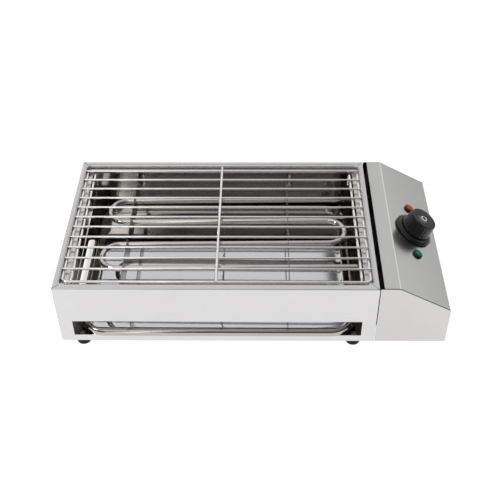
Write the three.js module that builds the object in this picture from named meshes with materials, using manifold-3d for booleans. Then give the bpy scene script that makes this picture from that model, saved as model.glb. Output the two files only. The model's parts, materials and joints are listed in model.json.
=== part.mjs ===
import * as THREE from 'three';
import { mergeVertices } from 'three/addons/utils/BufferGeometryUtils.js';
import Module from 'manifold-3d';

const wasm = await Module();
wasm.setup();

// Driving dimensions, in millimetres. Zero is the body's front left bottom corner; the feet reach below it.
const bodyWidth = 433.5;
const bodyDepth = 280;
const bodyHeight = 100;
const sheet = 0.8;
const fitGap = 0.3;
const cutOverrun = 2;

// Rim of the body: flat flange, upright lip and the ledge that carries the grate.
const flangeWidth = 6.2;
const openingRadius = 8;
const lipSheet = 0.6;
const ledgeDrop = 8;
const ledgeWidth = 10.4;
const ledgeCornerRadius = 6;

// Slot for the tray in the front panel.
const slotInset = 18.9;
const slotBottom = 11;
const slotHeight = 27.2;

// Air vent in the bottom plate.
const ventInset = 6;
const ventWidth = 10;
const ventMargin = 70;

// Drip tray. Its rim rises from an upright lip to a crest, and its wall falls from there to the floor.
const traySideClearance = 2.9;
const trayReach = 2;
const trayBackClearance = 3.2;
const trayLift = 0.4;
const trayHeight = 8.6;
const traySheet = 0.7;
const trayRimWidth = 5.1;
const trayRimCrown = 5.3;
const trayCrestRun = 1.2;
const trayCrestDrop = 0.6;
const trayWallRun = 5.7;
const trayHeelRun = 4;
const trayHeelRise = 0.8;
const trayCornerRadius = 40;
const trayFloorRadius = 14;

// Rails under the tray.
const railInset = 52;
const railFlange = 12;
const railEndMargin = 16;

// Grate.
const wireDiameter = 3.2;
const frameRodDiameter = 3.8;
const crossRodDiameter = 3.8;
const weldSink = 0.6;
const grateSideClearance = 0.9;
const grateFrontSetback = 20;
const grateBackSetback = 16.5;
const grateCornerRadius = 7;
const wireCount = 11;
const lastWireSetback = 3.5;
const firstWireSetback = 42;
const middleRodReach = 2;
const middleRodRamp = 12;
const crossRodInset = 22;
const crossRodEndMargin = 24;
const legLength = 20;
const legBendRadius = 4;

// Tube heater.
const heaterDiameter = 8;
const heaterDrop = 20.5;
const heaterSag = 4.5;
const heaterPitch = 49.5;
const heaterRowShares = [-1.5, -0.5, 0.5, 1.5];
const heaterLeftInset = 51.5;
const heaterRightInset = 36.5;
const heaterReachIntoBox = 12;
const terminalDiameter = 3;
const terminalLength = 12;

// Heater bushings through the right panel.
const bushingWall = 1.6;
const bushingFlangeDiameter = 17;
const bushingFlangeThickness = 2;
const bushingTail = 6;
const bushingNutAcross = 18;
const bushingNutThickness = 4;
const runningGap = 0.4;

// Heater brackets.
const bracketSheet = 1;
const bracketCrest = 2.4;
const bracketHeight = 31.5;
const bracketFlange = 12;
const bracketInset = 85.5;
const bracketPitch = 229.5;
const rivetHeadDiameter = 8;
const rivetHeadHeight = 2.4;
const rivetShankDiameter = 4;
const rivetRowShares = [0.14, 0.61];

// Control box.
const sideGap = 6;
const controlTopWidth = 20.5;
const controlSlopeWidth = 71.5;
const controlSideHeight = 60;
const controlPlate = 0.8;

// Spacers between body and control box.
const spacerDiameter = 9;
const spacerBore = 4.6;
const spacerHeight = 25;
const spacerEndMargin = 32;
const spacerScrewDiameter = 4;
const spacerScrewHead = 8;
const spacerScrewHeadHeight = 2.2;
const spacerNutAcross = 7;
const spacerNutThickness = 3.2;

// Knob.
const knobSkirtDiameter = 59;
const knobRimHeight = 3.4;
const knobGripDiameter = 45;
const knobTopDiameter = 40;
const knobGripBase = 8;
const knobHeight = 28;
const knobChamfer = 1.6;
const knobWall = 3;
const knobHubDiameter = 13;
const knobRunningGap = 0.8;
const knobRibCount = 24;
const knobRibDepth = 0.5;
const knobGrooveShare = 2;
const knobBadgeDiameter = 10;
const knobBadgeDepth = 0.5;
const shaftDiameter = 6;
const shaftGrip = 12;
const shaftSeat = 6;

// Thermostat under the knob.
const thermostatWidth = 36;
const thermostatDepth = 40;
const thermostatHeight = 24;
const neckDiameter = 10;
const neckReach = 4;
const neckNutAcross = 14;
const neckNutThickness = 2.4;

// Thermostat sensor in the body.
const bulbDiameter = 5;
const bulbLength = 60;
const bulbStandOff = 6;
const bulbDrop = 26;
const capillaryDiameter = 1.8;
const capillaryLead = 16;
const capillaryHoleDiameter = 4;
const clipThickness = 1;
const clipWidth = 10;
const capillaryInletShare = 0.33;

// Lamps.
const lampSpread = 50;
const lensDiameter = 14.4;
const lensHeight = 4.2;
const lensEdgeHeight = 1.6;
const lensStemDiameter = 8;
const lensStemLength = 5;
const lampHolderDiameter = 13;
const lampHolderLength = 15;

// Wiring in the control box.
const wireLeadDiameter = 2.4;
const wireBendRadius = 5;
const lampWireDrop = 5;
const blockWidth = 28;
const blockDepth = 24;
const blockHeight = 18;
const blockBackMargin = 32;
const blockSideMargin = 34;
const wireInletShare = 0.5;
const wireOutletShare = 0.2;
const wireStraightRun = 15;
const wireHoverHeight = 38;
const glandFlangeDiameter = 16;
const glandNeckDiameter = 11;
const glandBore = 7;
const glandReach = 6;
const glandCollarShare = 0.5;
const glandTail = 5;
const glandSideMargin = 40;
const glandPlaceHeight = 30;

// Feet.
const footHeight = 10;
const footTopDiameter = 22;
const footToeDiameter = 19.2;
const footSideMargin = 28.2;
const footEndMargin = 11;
const footFlareShare = 0.5;
const footScrewDiameter = 4;
const footScrewReach = 6;
const footScrewHead = 8;
const footScrewHeadHeight = 2.2;

// Fineness of round shapes, in counts.
const rodSides = 8;
const tubeSides = 12;
const bendSteps = 5;
const cornerSteps = 6;
const roundSides = 24;
const fastenerSides = 14;
const leadSides = 6;
const knobSides = 48;
const crownSteps = 6;
const domeSteps = 4;

// Places that several pieces share.
const bodyInnerTop = bodyHeight - sheet;
const ledgeTop = bodyHeight - ledgeDrop;
const lipOuter = flangeWidth + fitGap;
const lipInner = lipOuter + lipSheet;
const ledgeEdge = lipInner + ledgeWidth;
const heaterAxisHeight = bodyHeight - heaterDrop;
const heaterRows = heaterRowShares.map((rowShare) => bodyDepth / 2 + rowShare * heaterPitch);
const heaterBendRadius = heaterPitch / 2;
const trayBottom = slotBottom + trayLift;
const innerWallLeft = bodyWidth + sideGap;
const controlTopRight = innerWallLeft + controlTopWidth;
const overallLength = controlTopRight + controlSlopeWidth;
const overallDepth = trayReach + bodyDepth + glandReach;
const slopeDrop = bodyHeight - controlSideHeight;
const slopeAngle = Math.atan2(slopeDrop, controlSlopeWidth);
const slopeCentre = new THREE.Vector3(controlTopRight + controlSlopeWidth / 2, bodyDepth / 2,
  bodyHeight - slopeDrop / 2);

const alongX = new THREE.Matrix4().makeBasis(
  new THREE.Vector3(0, 1, 0), new THREE.Vector3(0, 0, 1), new THREE.Vector3(1, 0, 0));
const alongY = new THREE.Matrix4().makeBasis(
  new THREE.Vector3(1, 0, 0), new THREE.Vector3(0, 0, 1), new THREE.Vector3(0, -1, 0));
const slopeFrame = new THREE.Matrix4().makeRotationY(slopeAngle).setPosition(slopeCentre);

// A box between two corners.
function block(left, right, front, back, low, high) {
  const geometry = new THREE.BoxGeometry(right - left, back - front, high - low);
  return geometry.translate((left + right) / 2, (front + back) / 2, (low + high) / 2);
}

// An outline in plan, carried up from one height to another.
function upright(outline, low, high) {
  const geometry = new THREE.ExtrudeGeometry(outline, {
    depth: high - low, bevelEnabled: false, curveSegments: cornerSteps,
  });
  return geometry.translate(0, 0, low);
}

// An outline in X and Z, carried along Y.
function lengthwise(outline, front, back) {
  const geometry = upright(outline, -back, -front);
  return geometry.applyMatrix4(alongY);
}

// A rectangle with round corners.
function roundedRectangle(left, right, front, back, radius) {
  const outline = new THREE.Shape();
  outline.moveTo(left + radius, front);
  outline.lineTo(right - radius, front);
  outline.absarc(right - radius, front + radius, radius, -Math.PI / 2, 0, false);
  outline.lineTo(right, back - radius);
  outline.absarc(right - radius, back - radius, radius, 0, Math.PI / 2, false);
  outline.lineTo(left + radius, back);
  outline.absarc(left + radius, back - radius, radius, Math.PI / 2, Math.PI, false);
  outline.lineTo(left, front + radius);
  outline.absarc(left + radius, front + radius, radius, Math.PI, 1.5 * Math.PI, false);
  return outline;
}

// An outline through points given as [x, y] pairs.
function polygon(points) {
  return new THREE.Shape(points.map(([x, y]) => new THREE.Vector2(x, y)));
}

// A regular hexagon with a given width across its flats.
function hexagon(acrossFlats) {
  const radius = acrossFlats / Math.sqrt(3);
  const corners = Array.from({ length: 6 }, (_, index) => index * Math.PI / 3);
  return polygon(corners.map((angle) => [radius * Math.cos(angle), radius * Math.sin(angle)]));
}

// The diameter of a hole that clears a round piece all round.
function clearHole(diameter) {
  return diameter + 2 * fitGap;
}

// A round hole in an outline.
function punch(outline, x, y, diameter) {
  outline.holes.push(new THREE.Path().absarc(x, y, diameter / 2, 0, 2 * Math.PI, true));
  return outline;
}

// A shape turned about Z, from [radius, height] pairs that run upwards on the outside.
function turned(profile, sides) {
  const points = profile.map(([radius, height]) => new THREE.Vector2(radius, height));
  return new THREE.LatheGeometry(points, sides).rotateX(Math.PI / 2);
}

// A turned shape with a bore: its profile is a closed loop.
function turnedRing(profile, sides) {
  return turned([...profile, profile[0]], sides);
}

// A plain round bar along Z.
function bar(diameter, low, high, sides) {
  const radius = diameter / 2;
  return turned([[0, low], [radius, low], [radius, high], [0, high]], sides);
}

// Turns a shape made along Z so that it runs along X, and puts its foot at a place.
function towardsX(geometry, x, y, z) {
  return geometry.applyMatrix4(alongX).translate(x, y, z);
}

// Turns a shape made along Z so that it runs along -Y, and puts its foot at a place.
function towardsFront(geometry, x, y, z) {
  return geometry.applyMatrix4(alongY).translate(x, y, z);
}

// A curve through its own points, one step from each to the next.
class Route extends THREE.Curve {
  constructor(points) {
    super();
    this.points = points;
  }

  getPointAt(share) {
    return this.points[Math.round(share * (this.points.length - 1))].clone();
  }

  getTangentAt(share) {
    const index = Math.round(share * (this.points.length - 1));
    const before = this.points[Math.max(index - 1, 0)];
    const after = this.points[Math.min(index + 1, this.points.length - 1)];
    const here = this.points[index];
    const arriving = here.clone().sub(before).normalize();
    const leaving = after.clone().sub(here).normalize();
    return arriving.add(leaving).normalize();
  }
}

// Points along straight runs whose corners are rounded.
function roundedRun(corners, radius) {
  const points = [corners[0]];
  for (let index = 1; index < corners.length - 1; index += 1) {
    const arriving = corners[index].clone().sub(corners[index - 1]).normalize();
    const leaving = corners[index + 1].clone().sub(corners[index]).normalize();
    const turn = arriving.angleTo(leaving);
    const sideways = leaving.clone().addScaledVector(arriving, -Math.cos(turn)).normalize();
    const start = corners[index].clone().addScaledVector(arriving, -radius * Math.tan(turn / 2));
    for (let step = 0; step <= bendSteps; step += 1) {
      const angle = turn * step / bendSteps;
      const point = start.clone().addScaledVector(arriving, radius * Math.sin(angle));
      point.addScaledVector(sideways, radius * (1 - Math.cos(angle)));
      if (point.distanceTo(points[points.length - 1]) > fitGap) {
        points.push(point);
      }
    }
  }
  points.push(corners[corners.length - 1]);
  return points;
}

// A round rod or wire along rounded runs between [x, y, z] corners.
function rod(corners, diameter, radius, sides) {
  const places = corners.map(([x, y, z]) => new THREE.Vector3(x, y, z));
  const route = new Route(roundedRun(places, radius));
  const section = new THREE.Shape();
  for (let side = 0; side < sides; side += 1) {
    const angle = 2 * Math.PI * (side + 0.5) / sides;
    const x = diameter / 2 * Math.cos(angle);
    const y = diameter / 2 * Math.sin(angle);
    if (side === 0) {
      section.moveTo(x, y);
    } else {
      section.lineTo(x, y);
    }
  }
  return new THREE.ExtrudeGeometry(section, { steps: route.points.length - 1, extrudePath: route });
}

// A closed solid from a geometry, with its shared corners merged.
function solid(geometry) {
  const bare = geometry.clone();
  bare.deleteAttribute('normal');
  bare.deleteAttribute('uv');
  const merged = mergeVertices(bare);
  return new wasm.Manifold(new wasm.Mesh({
    numProp: 3,
    vertProperties: new Float32Array(merged.attributes.position.array),
    triVerts: new Uint32Array(merged.index.array),
  }));
}

// The geometry of a closed solid.
function geometryOf(body) {
  const { vertProperties, triVerts } = body.getMesh();
  const geometry = new THREE.BufferGeometry();
  geometry.setAttribute('position', new THREE.BufferAttribute(vertProperties, 3));
  geometry.setIndex(new THREE.BufferAttribute(triVerts, 1));
  return geometry;
}

function joined(geometries) {
  return geometryOf(geometries.map(solid).reduce((whole, piece) => whole.add(piece)));
}

function cut(geometry, cutters) {
  return geometryOf(cutters.map(solid).reduce((whole, cutter) => whole.subtract(cutter), solid(geometry)));
}

// A skin over rings of points, one after another, with flat end caps or closed back on its first ring.
function lofted(rings, isLoop) {
  const size = rings[0].length;
  const points = rings.flat();
  const faces = [];
  const joints = isLoop ? rings.length : rings.length - 1;
  for (let ring = 0; ring < joints; ring += 1) {
    const here = ring * size;
    const there = (ring + 1) % rings.length * size;
    for (let index = 0; index < size; index += 1) {
      const next = (index + 1) % size;
      faces.push(here + index, there + next, there + index, here + index, here + next, there + next);
    }
  }
  if (!isLoop) {
    const last = (rings.length - 1) * size;
    const centres = [rings[0], rings[rings.length - 1]].map((ring) => ring
      .reduce((sum, point) => sum.add(point), new THREE.Vector3()).divideScalar(size));
    const foot = points.push(...centres) - 2;
    for (let index = 0; index < size; index += 1) {
      const next = (index + 1) % size;
      faces.push(foot, next, index, foot + 1, last + index, last + next);
    }
  }
  const geometry = new THREE.BufferGeometry().setFromPoints(points);
  geometry.setIndex(faces);
  return geometry;
}

// The points of a rounded rectangle at one height, corner by corner.
function rimPoints(left, right, front, back, radius, height) {
  const points = [];
  const corners = [[right - radius, front + radius, -1], [right - radius, back - radius, 0],
    [left + radius, back - radius, 1], [left + radius, front + radius, 2]];
  for (const [x, y, quarter] of corners) {
    for (let step = 0; step <= cornerSteps; step += 1) {
      const angle = Math.PI / 2 * (quarter + step / cornerSteps);
      points.push(new THREE.Vector3(x + radius * Math.cos(angle), y + radius * Math.sin(angle), height));
    }
  }
  return points;
}

// A closed round rod bent into a rounded rectangle.
function rodLoop(left, right, front, back, radius, height, diameter) {
  const rings = [];
  for (let side = 0; side < rodSides; side += 1) {
    const angle = 2 * Math.PI * (side + 0.5) / rodSides;
    const out = diameter / 2 * Math.cos(angle);
    rings.push(rimPoints(left - out, right + out, front - out, back + out, radius + out,
      height + diameter / 2 * Math.sin(angle)));
  }
  return lofted(rings, true);
}

// Colours and finishes.
const finishes = {
  steel: { color: 0xcfced0, metalness: 0.85, roughness: 0.32 },
  brushed: { color: 0xb4b2b3, metalness: 0.85, roughness: 0.38 },
  mirror: { color: 0xd8d8dc, metalness: 1, roughness: 0.08 },
  chrome: { color: 0xdedee0, metalness: 1, roughness: 0.12 },
  heater: { color: 0xb9b4aa, metalness: 0.8, roughness: 0.35 },
  zinc: { color: 0xa9abad, metalness: 0.8, roughness: 0.4 },
  brass: { color: 0xb08d4c, metalness: 0.9, roughness: 0.35 },
  black: { color: 0x2b2a2b, metalness: 0, roughness: 0.5 },
  rubber: { color: 0x1f1f20, metalness: 0, roughness: 0.85 },
  ceramic: { color: 0xe6e1d6, metalness: 0, roughness: 0.6 },
  lead: { color: 0x6b2f2a, metalness: 0, roughness: 0.6 },
  orange: { color: 0xc85014, metalness: 0, roughness: 0.12 },
  green: { color: 0x00825f, metalness: 0, roughness: 0.12 },
};

const grill = new THREE.Group();
const slopeGroup = new THREE.Group();
slopeGroup.position.copy(slopeCentre);
slopeGroup.rotation.y = slopeAngle;
grill.add(slopeGroup);

function place(name, geometry, finish, parent = grill) {
  geometry.computeVertexNormals();
  const mesh = new THREE.Mesh(geometry, new THREE.MeshStandardMaterial(finishes[finish]));
  mesh.name = name;
  parent.add(mesh);
}

// The body's four panels: one folded shell, cut apart along its corner mitres.
function makeBodyPanels() {
  const outer = block(0, bodyWidth, 0, bodyDepth, 0, bodyHeight);
  const inside = block(sheet, bodyWidth - sheet, sheet, bodyDepth - sheet, -cutOverrun, bodyInnerTop);
  const opening = upright(
    roundedRectangle(flangeWidth, bodyWidth - flangeWidth, flangeWidth, bodyDepth - flangeWidth,
      openingRadius),
    bodyInnerTop - cutOverrun, bodyHeight + cutOverrun);
  const shell = cut(outer, [inside, opening]);
  const mitreGap = fitGap / Math.SQRT2;
  const reach = bodyDepth / 2;
  const far = cutOverrun;
  const wedges = {
    front_panel: [[mitreGap - far, -far], [bodyWidth - mitreGap + far, -far],
      [bodyWidth - reach - mitreGap, reach], [reach + mitreGap, reach]],
    right_panel: [[bodyWidth + far, mitreGap - far], [bodyWidth + far, bodyDepth - mitreGap + far],
      [bodyWidth - reach, reach + mitreGap], [bodyWidth - reach, reach - mitreGap]],
    back_panel: [[bodyWidth - mitreGap + far, bodyDepth + far], [mitreGap - far, bodyDepth + far],
      [reach + mitreGap, reach], [bodyWidth - reach - mitreGap, reach]],
    left_panel: [[-far, bodyDepth - mitreGap + far], [-far, mitreGap - far],
      [reach, reach - mitreGap], [reach, reach + mitreGap]],
  };
  const cutters = {
    front_panel: [block(slotInset, bodyWidth - slotInset, -cutOverrun, sheet + cutOverrun,
      slotBottom, slotBottom + slotHeight)],
    right_panel: wallPassages(bodyWidth),
    back_panel: rivetPlaces().map(([x, z]) => towardsFront(
      bar(clearHole(rivetShankDiameter), -cutOverrun, sheet + cutOverrun, fastenerSides), x, bodyDepth, z)),
    left_panel: [],
  };
  for (const [name, corners] of Object.entries(wedges)) {
    const wedge = upright(polygon(corners), -cutOverrun, bodyHeight + cutOverrun);
    const panel = geometryOf(solid(shell).intersect(solid(wedge)));
    place(name, cutters[name].length ? cut(panel, cutters[name]) : panel, 'steel');
  }
}

// Cutting bars for what passes through the right panel and the control box's inner wall.
function wallPassages(wallRight) {
  const bars = [];
  const low = -sheet - cutOverrun;
  for (const y of [heaterRows[0], heaterRows[3]]) {
    bars.push(towardsX(bar(clearHole(bushingDiameter), low, cutOverrun, fastenerSides),
      wallRight, y, heaterAxisHeight));
  }
  for (const y of [spacerEndMargin, bodyDepth - spacerEndMargin]) {
    bars.push(towardsX(bar(spacerBore, low, cutOverrun, fastenerSides), wallRight, y, spacerHeight));
  }
  bars.push(towardsX(bar(capillaryHoleDiameter, low, cutOverrun, fastenerSides),
    wallRight, capillaryPlace, bulbHeight));
  return bars;
}

const bushingDiameter = heaterDiameter + 2 * (runningGap + bushingWall);
const bulbHeight = bodyHeight - bulbDrop;
const thermostatSide = bodyDepth / 2 + thermostatDepth / 2 + fitGap;
const capillaryPlace = thermostatSide + capillaryLead;
const bracketLow = heaterAxisHeight + heaterDiameter / 2 + bracketCrest - bracketHeight;
const bracketLefts = [bracketInset, bracketInset + bracketPitch];

function rivetPlaces() {
  const places = [];
  for (const left of bracketLefts) {
    for (const rowShare of rivetRowShares) {
      places.push([left + bracketSheet + fitGap + rivetHeadDiameter / 2,
        bracketLow + rowShare * bracketHeight]);
    }
  }
  return places;
}

// The pressed ring inside the rim: an upright lip and the ledge that carries the grate.
function makeGrateRest() {
  const outline = (inset, radius) => roundedRectangle(
    inset, bodyWidth - inset, inset, bodyDepth - inset, radius);
  const outer = upright(outline(lipOuter, openingRadius - fitGap), ledgeTop - lipSheet, bodyHeight - fitGap);
  const well = upright(outline(lipInner, openingRadius - fitGap - lipSheet), ledgeTop,
    bodyHeight + cutOverrun);
  const mouth = upright(outline(ledgeEdge, ledgeCornerRadius), ledgeTop - lipSheet - cutOverrun,
    bodyHeight + cutOverrun);
  place('grate_rest', cut(outer, [well, mouth]), 'steel');
}

function makeBottomPlate() {
  const inset = sheet + fitGap;
  const plate = block(inset, bodyWidth - inset, inset, bodyDepth - inset, 0, sheet);
  const cutters = [upright(roundedRectangle(ventInset, ventInset + ventWidth, ventMargin,
    bodyDepth - ventMargin, ventWidth / 2 - fitGap), -cutOverrun, sheet + cutOverrun)];
  for (const [x, y] of footPlaces()) {
    cutters.push(bar(clearHole(footScrewDiameter), -cutOverrun, sheet + cutOverrun, fastenerSides)
      .translate(x, y, 0));
  }
  place('bottom_plate', cut(plate, cutters), 'zinc');
}

function makeTrayRails() {
  const low = sheet + fitGap;
  const high = trayBottom - fitGap;
  const front = railEndMargin;
  const back = bodyDepth - railEndMargin;
  for (const [side, left] of [['left', railInset], ['right', bodyWidth - railInset - railFlange]]) {
    const right = left + railFlange;
    const profile = polygon([[left, low], [right, low], [right, high], [left, high],
      [left, high - sheet], [right - sheet, high - sheet], [right - sheet, low + sheet],
      [left, low + sheet]]);
    place(`tray_rail_${side}`, lengthwise(profile, front, back), 'zinc');
  }
}

// The drip tray: rings of one rounded rectangle, drawn in and raised step by step.
function makeDripTray() {
  const left = slotInset + traySideClearance;
  const front = -trayReach;
  const right = bodyWidth - left;
  const back = bodyDepth - sheet - trayBackClearance;
  const crest = trayBottom + trayHeight;
  const shoulder = crest - trayRimCrown;
  const floorTop = trayBottom + traySheet;
  const outside = [];
  const inside = [];
  for (let step = 0; step <= crownSteps; step += 1) {
    const angle = Math.PI / 2 * step / crownSteps;
    const share = 1 - Math.cos(angle);
    inside.push([trayRimWidth * share, shoulder + trayRimCrown * Math.sin(angle)]);
    outside.push([traySheet + (trayRimWidth - traySheet) * share,
      shoulder + (trayRimCrown - traySheet) * Math.sin(angle)]);
  }
  const crestInset = trayRimWidth + trayCrestRun;
  const heel = crestInset + trayWallRun;
  const floorInset = heel + trayHeelRun;
  const profile = [
    [floorInset, trayBottom],
    [heel, trayBottom + trayHeelRise / 2],
    [crestInset, crest - trayCrestDrop - traySheet],
    ...outside.reverse(),
    [traySheet, trayBottom],
    [0, trayBottom],
    ...inside,
    [crestInset, crest - trayCrestDrop],
    [heel, floorTop + trayHeelRise],
    [floorInset, floorTop],
  ];
  const rings = profile.map(([inset, height]) => {
    const radius = trayCornerRadius - inset * (trayCornerRadius - trayFloorRadius) / floorInset;
    return rimPoints(left + inset, right - inset, front + inset, back - inset, radius, height);
  });
  place('drip_tray', lofted(rings, false), 'mirror');
}

// The grate: long wires welded across a rod frame, a middle rod over them and two bent rods under them.
function makeGrate() {
  const rodRadius = frameRodDiameter / 2;
  const left = lipInner + grateSideClearance + rodRadius;
  const right = bodyWidth - left;
  const front = grateFrontSetback;
  const back = bodyDepth - grateBackSetback;
  const height = ledgeTop + fitGap + rodRadius;
  const pieces = [rodLoop(left, right, front, back, grateCornerRadius, height, frameRodDiameter)];
  const wireHeight = height + rodRadius + wireDiameter / 2 - weldSink;
  const wirePitch = (back - lastWireSetback - firstWireSetback) / (wireCount - 1);
  for (let index = 0; index < wireCount; index += 1) {
    const y = firstWireSetback + index * wirePitch;
    pieces.push(rod([[left - rodRadius, y, wireHeight], [right + rodRadius, y, wireHeight]],
      wireDiameter, legBendRadius, rodSides));
  }
  const overFrame = height + (frameRodDiameter + crossRodDiameter) / 2 - weldSink;
  const overWires = wireHeight + (wireDiameter + crossRodDiameter) / 2 - weldSink;
  pieces.push(rod([[bodyWidth / 2, front - middleRodReach, overFrame],
    [bodyWidth / 2, front + middleRodRamp, overWires], [bodyWidth / 2, back + middleRodReach, overWires]],
  crossRodDiameter, legBendRadius, rodSides));
  const legFoot = height - legLength;
  for (const x of [crossRodInset, bodyWidth - crossRodInset]) {
    pieces.push(rod([[x, crossRodEndMargin, legFoot], [x, crossRodEndMargin, height],
      [x, bodyDepth - crossRodEndMargin, height], [x, bodyDepth - crossRodEndMargin, legFoot]],
    crossRodDiameter, legBendRadius, rodSides));
  }
  place('grate', joined(pieces), 'chrome');
}

// The heater is held at its right end and hangs a little lower towards the left.
function heaterHeight(x) {
  return heaterAxisHeight - heaterSag * (innerWallLeft - x) / (innerWallLeft - heaterLeftInset);
}

// The serpentine tube heater, its bushings, nuts and terminals.
function makeHeater() {
  const tubeEnd = innerWallLeft + heaterReachIntoBox;
  const leftTurn = heaterLeftInset;
  const rightTurn = bodyWidth - heaterRightInset;
  const z = heaterAxisHeight;
  const [first, second, third, last] = heaterRows;
  const stations = [[tubeEnd, first], [leftTurn, first], [leftTurn, second], [rightTurn, second],
    [rightTurn, third], [leftTurn, third], [leftTurn, last], [tubeEnd, last]];
  const corners = stations.map(([x, y]) => [x, y, heaterHeight(x)]);
  place('heating_element', rod(corners, heaterDiameter, heaterBendRadius, tubeSides), 'heater');
  const bore = heaterDiameter / 2 + runningGap;
  const shank = bushingDiameter / 2;
  const flangeLow = bodyWidth - sheet - fitGap - bushingFlangeThickness;
  const shankLength = innerWallLeft + sheet + bushingTail - flangeLow;
  const nutOutline = punch(hexagon(bushingNutAcross), 0, 0, clearHole(bushingDiameter));
  for (const [side, y] of [['front', first], ['back', last]]) {
    place(`heater_bushing_${side}`, towardsX(turnedRing([[bore, 0], [bushingFlangeDiameter / 2, 0],
      [bushingFlangeDiameter / 2, bushingFlangeThickness], [shank, bushingFlangeThickness],
      [shank, shankLength], [bore, shankLength]], fastenerSides), flangeLow, y, z), 'brass');
    place(`heater_nut_${side}`, towardsX(upright(nutOutline, 0, bushingNutThickness),
      innerWallLeft + sheet + fitGap, y, z), 'brass');
    place(`heater_terminal_${side}`, towardsX(bar(terminalDiameter, 0, terminalLength, rodSides),
      tubeEnd + fitGap, y, z), 'zinc');
  }
}

// The two sheet brackets that the heater's runs pass through, and their rivets.
function makeBrackets() {
  const front = sheet + fitGap;
  const back = bodyDepth - sheet - fitGap;
  const high = bracketLow + bracketHeight;
  ['left', 'right'].forEach((side, index) => {
    const left = bracketLefts[index];
    const plate = block(left, left + bracketSheet, front, back, bracketLow, high);
    const flanges = [[front, front + bracketSheet], [back - bracketSheet, back]].map(
      ([near, far]) => block(left, left + bracketFlange, near, far, bracketLow, high));
    const holes = heaterRows.map((y) => towardsX(
      bar(clearHole(heaterDiameter), -cutOverrun, bracketSheet + cutOverrun, fastenerSides),
      left, y, heaterHeight(left)));
    for (const [x, z] of rivetPlaces().slice(2 * index, 2 * index + 2)) {
      holes.push(towardsFront(bar(clearHole(rivetShankDiameter), -cutOverrun,
        bracketSheet + cutOverrun, fastenerSides), x, back, z));
    }
    place(`heater_bracket_${side}`, cut(joined([plate, ...flanges]), holes), 'heater');
  });
  const seat = sheet + fitGap + bracketSheet + fitGap;
  const headRadius = rivetHeadDiameter / 2;
  const shankRadius = rivetShankDiameter / 2;
  const names = ['left_lower', 'left_upper', 'right_lower', 'right_upper'];
  rivetPlaces().forEach(([x, z], index) => {
    const profile = [[0, 0], [shankRadius, 0], [shankRadius, seat], [headRadius, seat]];
    for (let step = 1; step < domeSteps; step += 1) {
      const angle = Math.PI / 2 * step / domeSteps;
      profile.push([headRadius * Math.cos(angle), seat + rivetHeadHeight * Math.sin(angle)]);
    }
    profile.push([0, seat + rivetHeadHeight]);
    const rivet = towardsFront(turned(profile, fastenerSides), x, bodyDepth, z);
    place(`bracket_rivet_${names[index]}`, rivet, 'zinc');
  });
}

// The sheet-metal control box beside the body.
function makeControlBox() {
  const left = innerWallLeft;
  const low = controlPlate + fitGap;
  const outline = () => polygon([[bodyWidth + fitGap, 0], [overallLength, 0],
    [overallLength, controlSideHeight], [controlTopRight, bodyHeight], [bodyWidth + fitGap, bodyHeight]]);
  place('control_front_plate', lengthwise(outline(), 0, controlPlate), 'steel');
  const backOutline = punch(outline(), glandX, glandPlaceHeight, clearHole(glandNeckDiameter));
  place('control_back_plate', lengthwise(backOutline, bodyDepth - controlPlate, bodyDepth), 'steel');

  const shallow = sheet * Math.tan(slopeAngle / 2);
  const steep = sheet * Math.tan((Math.PI / 2 - slopeAngle) / 2);
  const fold = polygon([[left, bodyInnerTop], [controlTopRight - shallow, bodyInnerTop],
    [overallLength - sheet, controlSideHeight - steep], [overallLength - sheet, 0], [overallLength, 0],
    [overallLength, controlSideHeight], [controlTopRight, bodyHeight], [left, bodyHeight]]);
  const holes = [[0, neckDiameter], [lampSpread, lensStemDiameter], [-lampSpread, lensStemDiameter]];
  const cutters = holes.map(([y, diameter]) => bar(clearHole(diameter), -sheet - cutOverrun, cutOverrun,
    roundSides).translate(0, y, 0).applyMatrix4(slopeFrame));
  place('control_cover', cut(lengthwise(fold, low, bodyDepth - low), cutters), 'brushed');

  const wall = block(left, left + sheet, low, bodyDepth - low, sheet + fitGap, bodyInnerTop - fitGap);
  place('control_inner_wall', cut(wall, wallPassages(left + sheet)), 'zinc');
  place('control_base', block(left, overallLength - sheet - fitGap, low, bodyDepth - low, 0, sheet), 'zinc');
}

const glandX = overallLength - glandSideMargin;

// Spacers, screws and nuts that hold the control box off the hot body.
function makeSpacers() {
  const length = sideGap - 2 * fitGap;
  const headLeft = bodyWidth - sheet - fitGap - spacerScrewHeadHeight;
  const screwLength = innerWallLeft + sheet + bushingTail - headLeft;
  const nutOutline = punch(hexagon(spacerNutAcross), 0, 0, clearHole(spacerScrewDiameter));
  for (const [side, y] of [['front', spacerEndMargin], ['back', bodyDepth - spacerEndMargin]]) {
    place(`box_spacer_${side}`, towardsX(turnedRing([[spacerBore / 2, 0], [spacerDiameter / 2, 0],
      [spacerDiameter / 2, length], [spacerBore / 2, length]], fastenerSides),
    bodyWidth + fitGap, y, spacerHeight), 'zinc');
    const screw = turned([[0, 0], [spacerScrewHead / 2, 0], [spacerScrewHead / 2, spacerScrewHeadHeight],
      [spacerScrewDiameter / 2, spacerScrewHeadHeight], [spacerScrewDiameter / 2, screwLength],
      [0, screwLength]], fastenerSides);
    place(`box_screw_${side}`, towardsX(screw, headLeft, y, spacerHeight), 'zinc');
    place(`box_nut_${side}`, towardsX(upright(nutOutline, 0, spacerNutThickness),
      innerWallLeft + sheet + fitGap, y, spacerHeight), 'zinc');
  }
}

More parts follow.
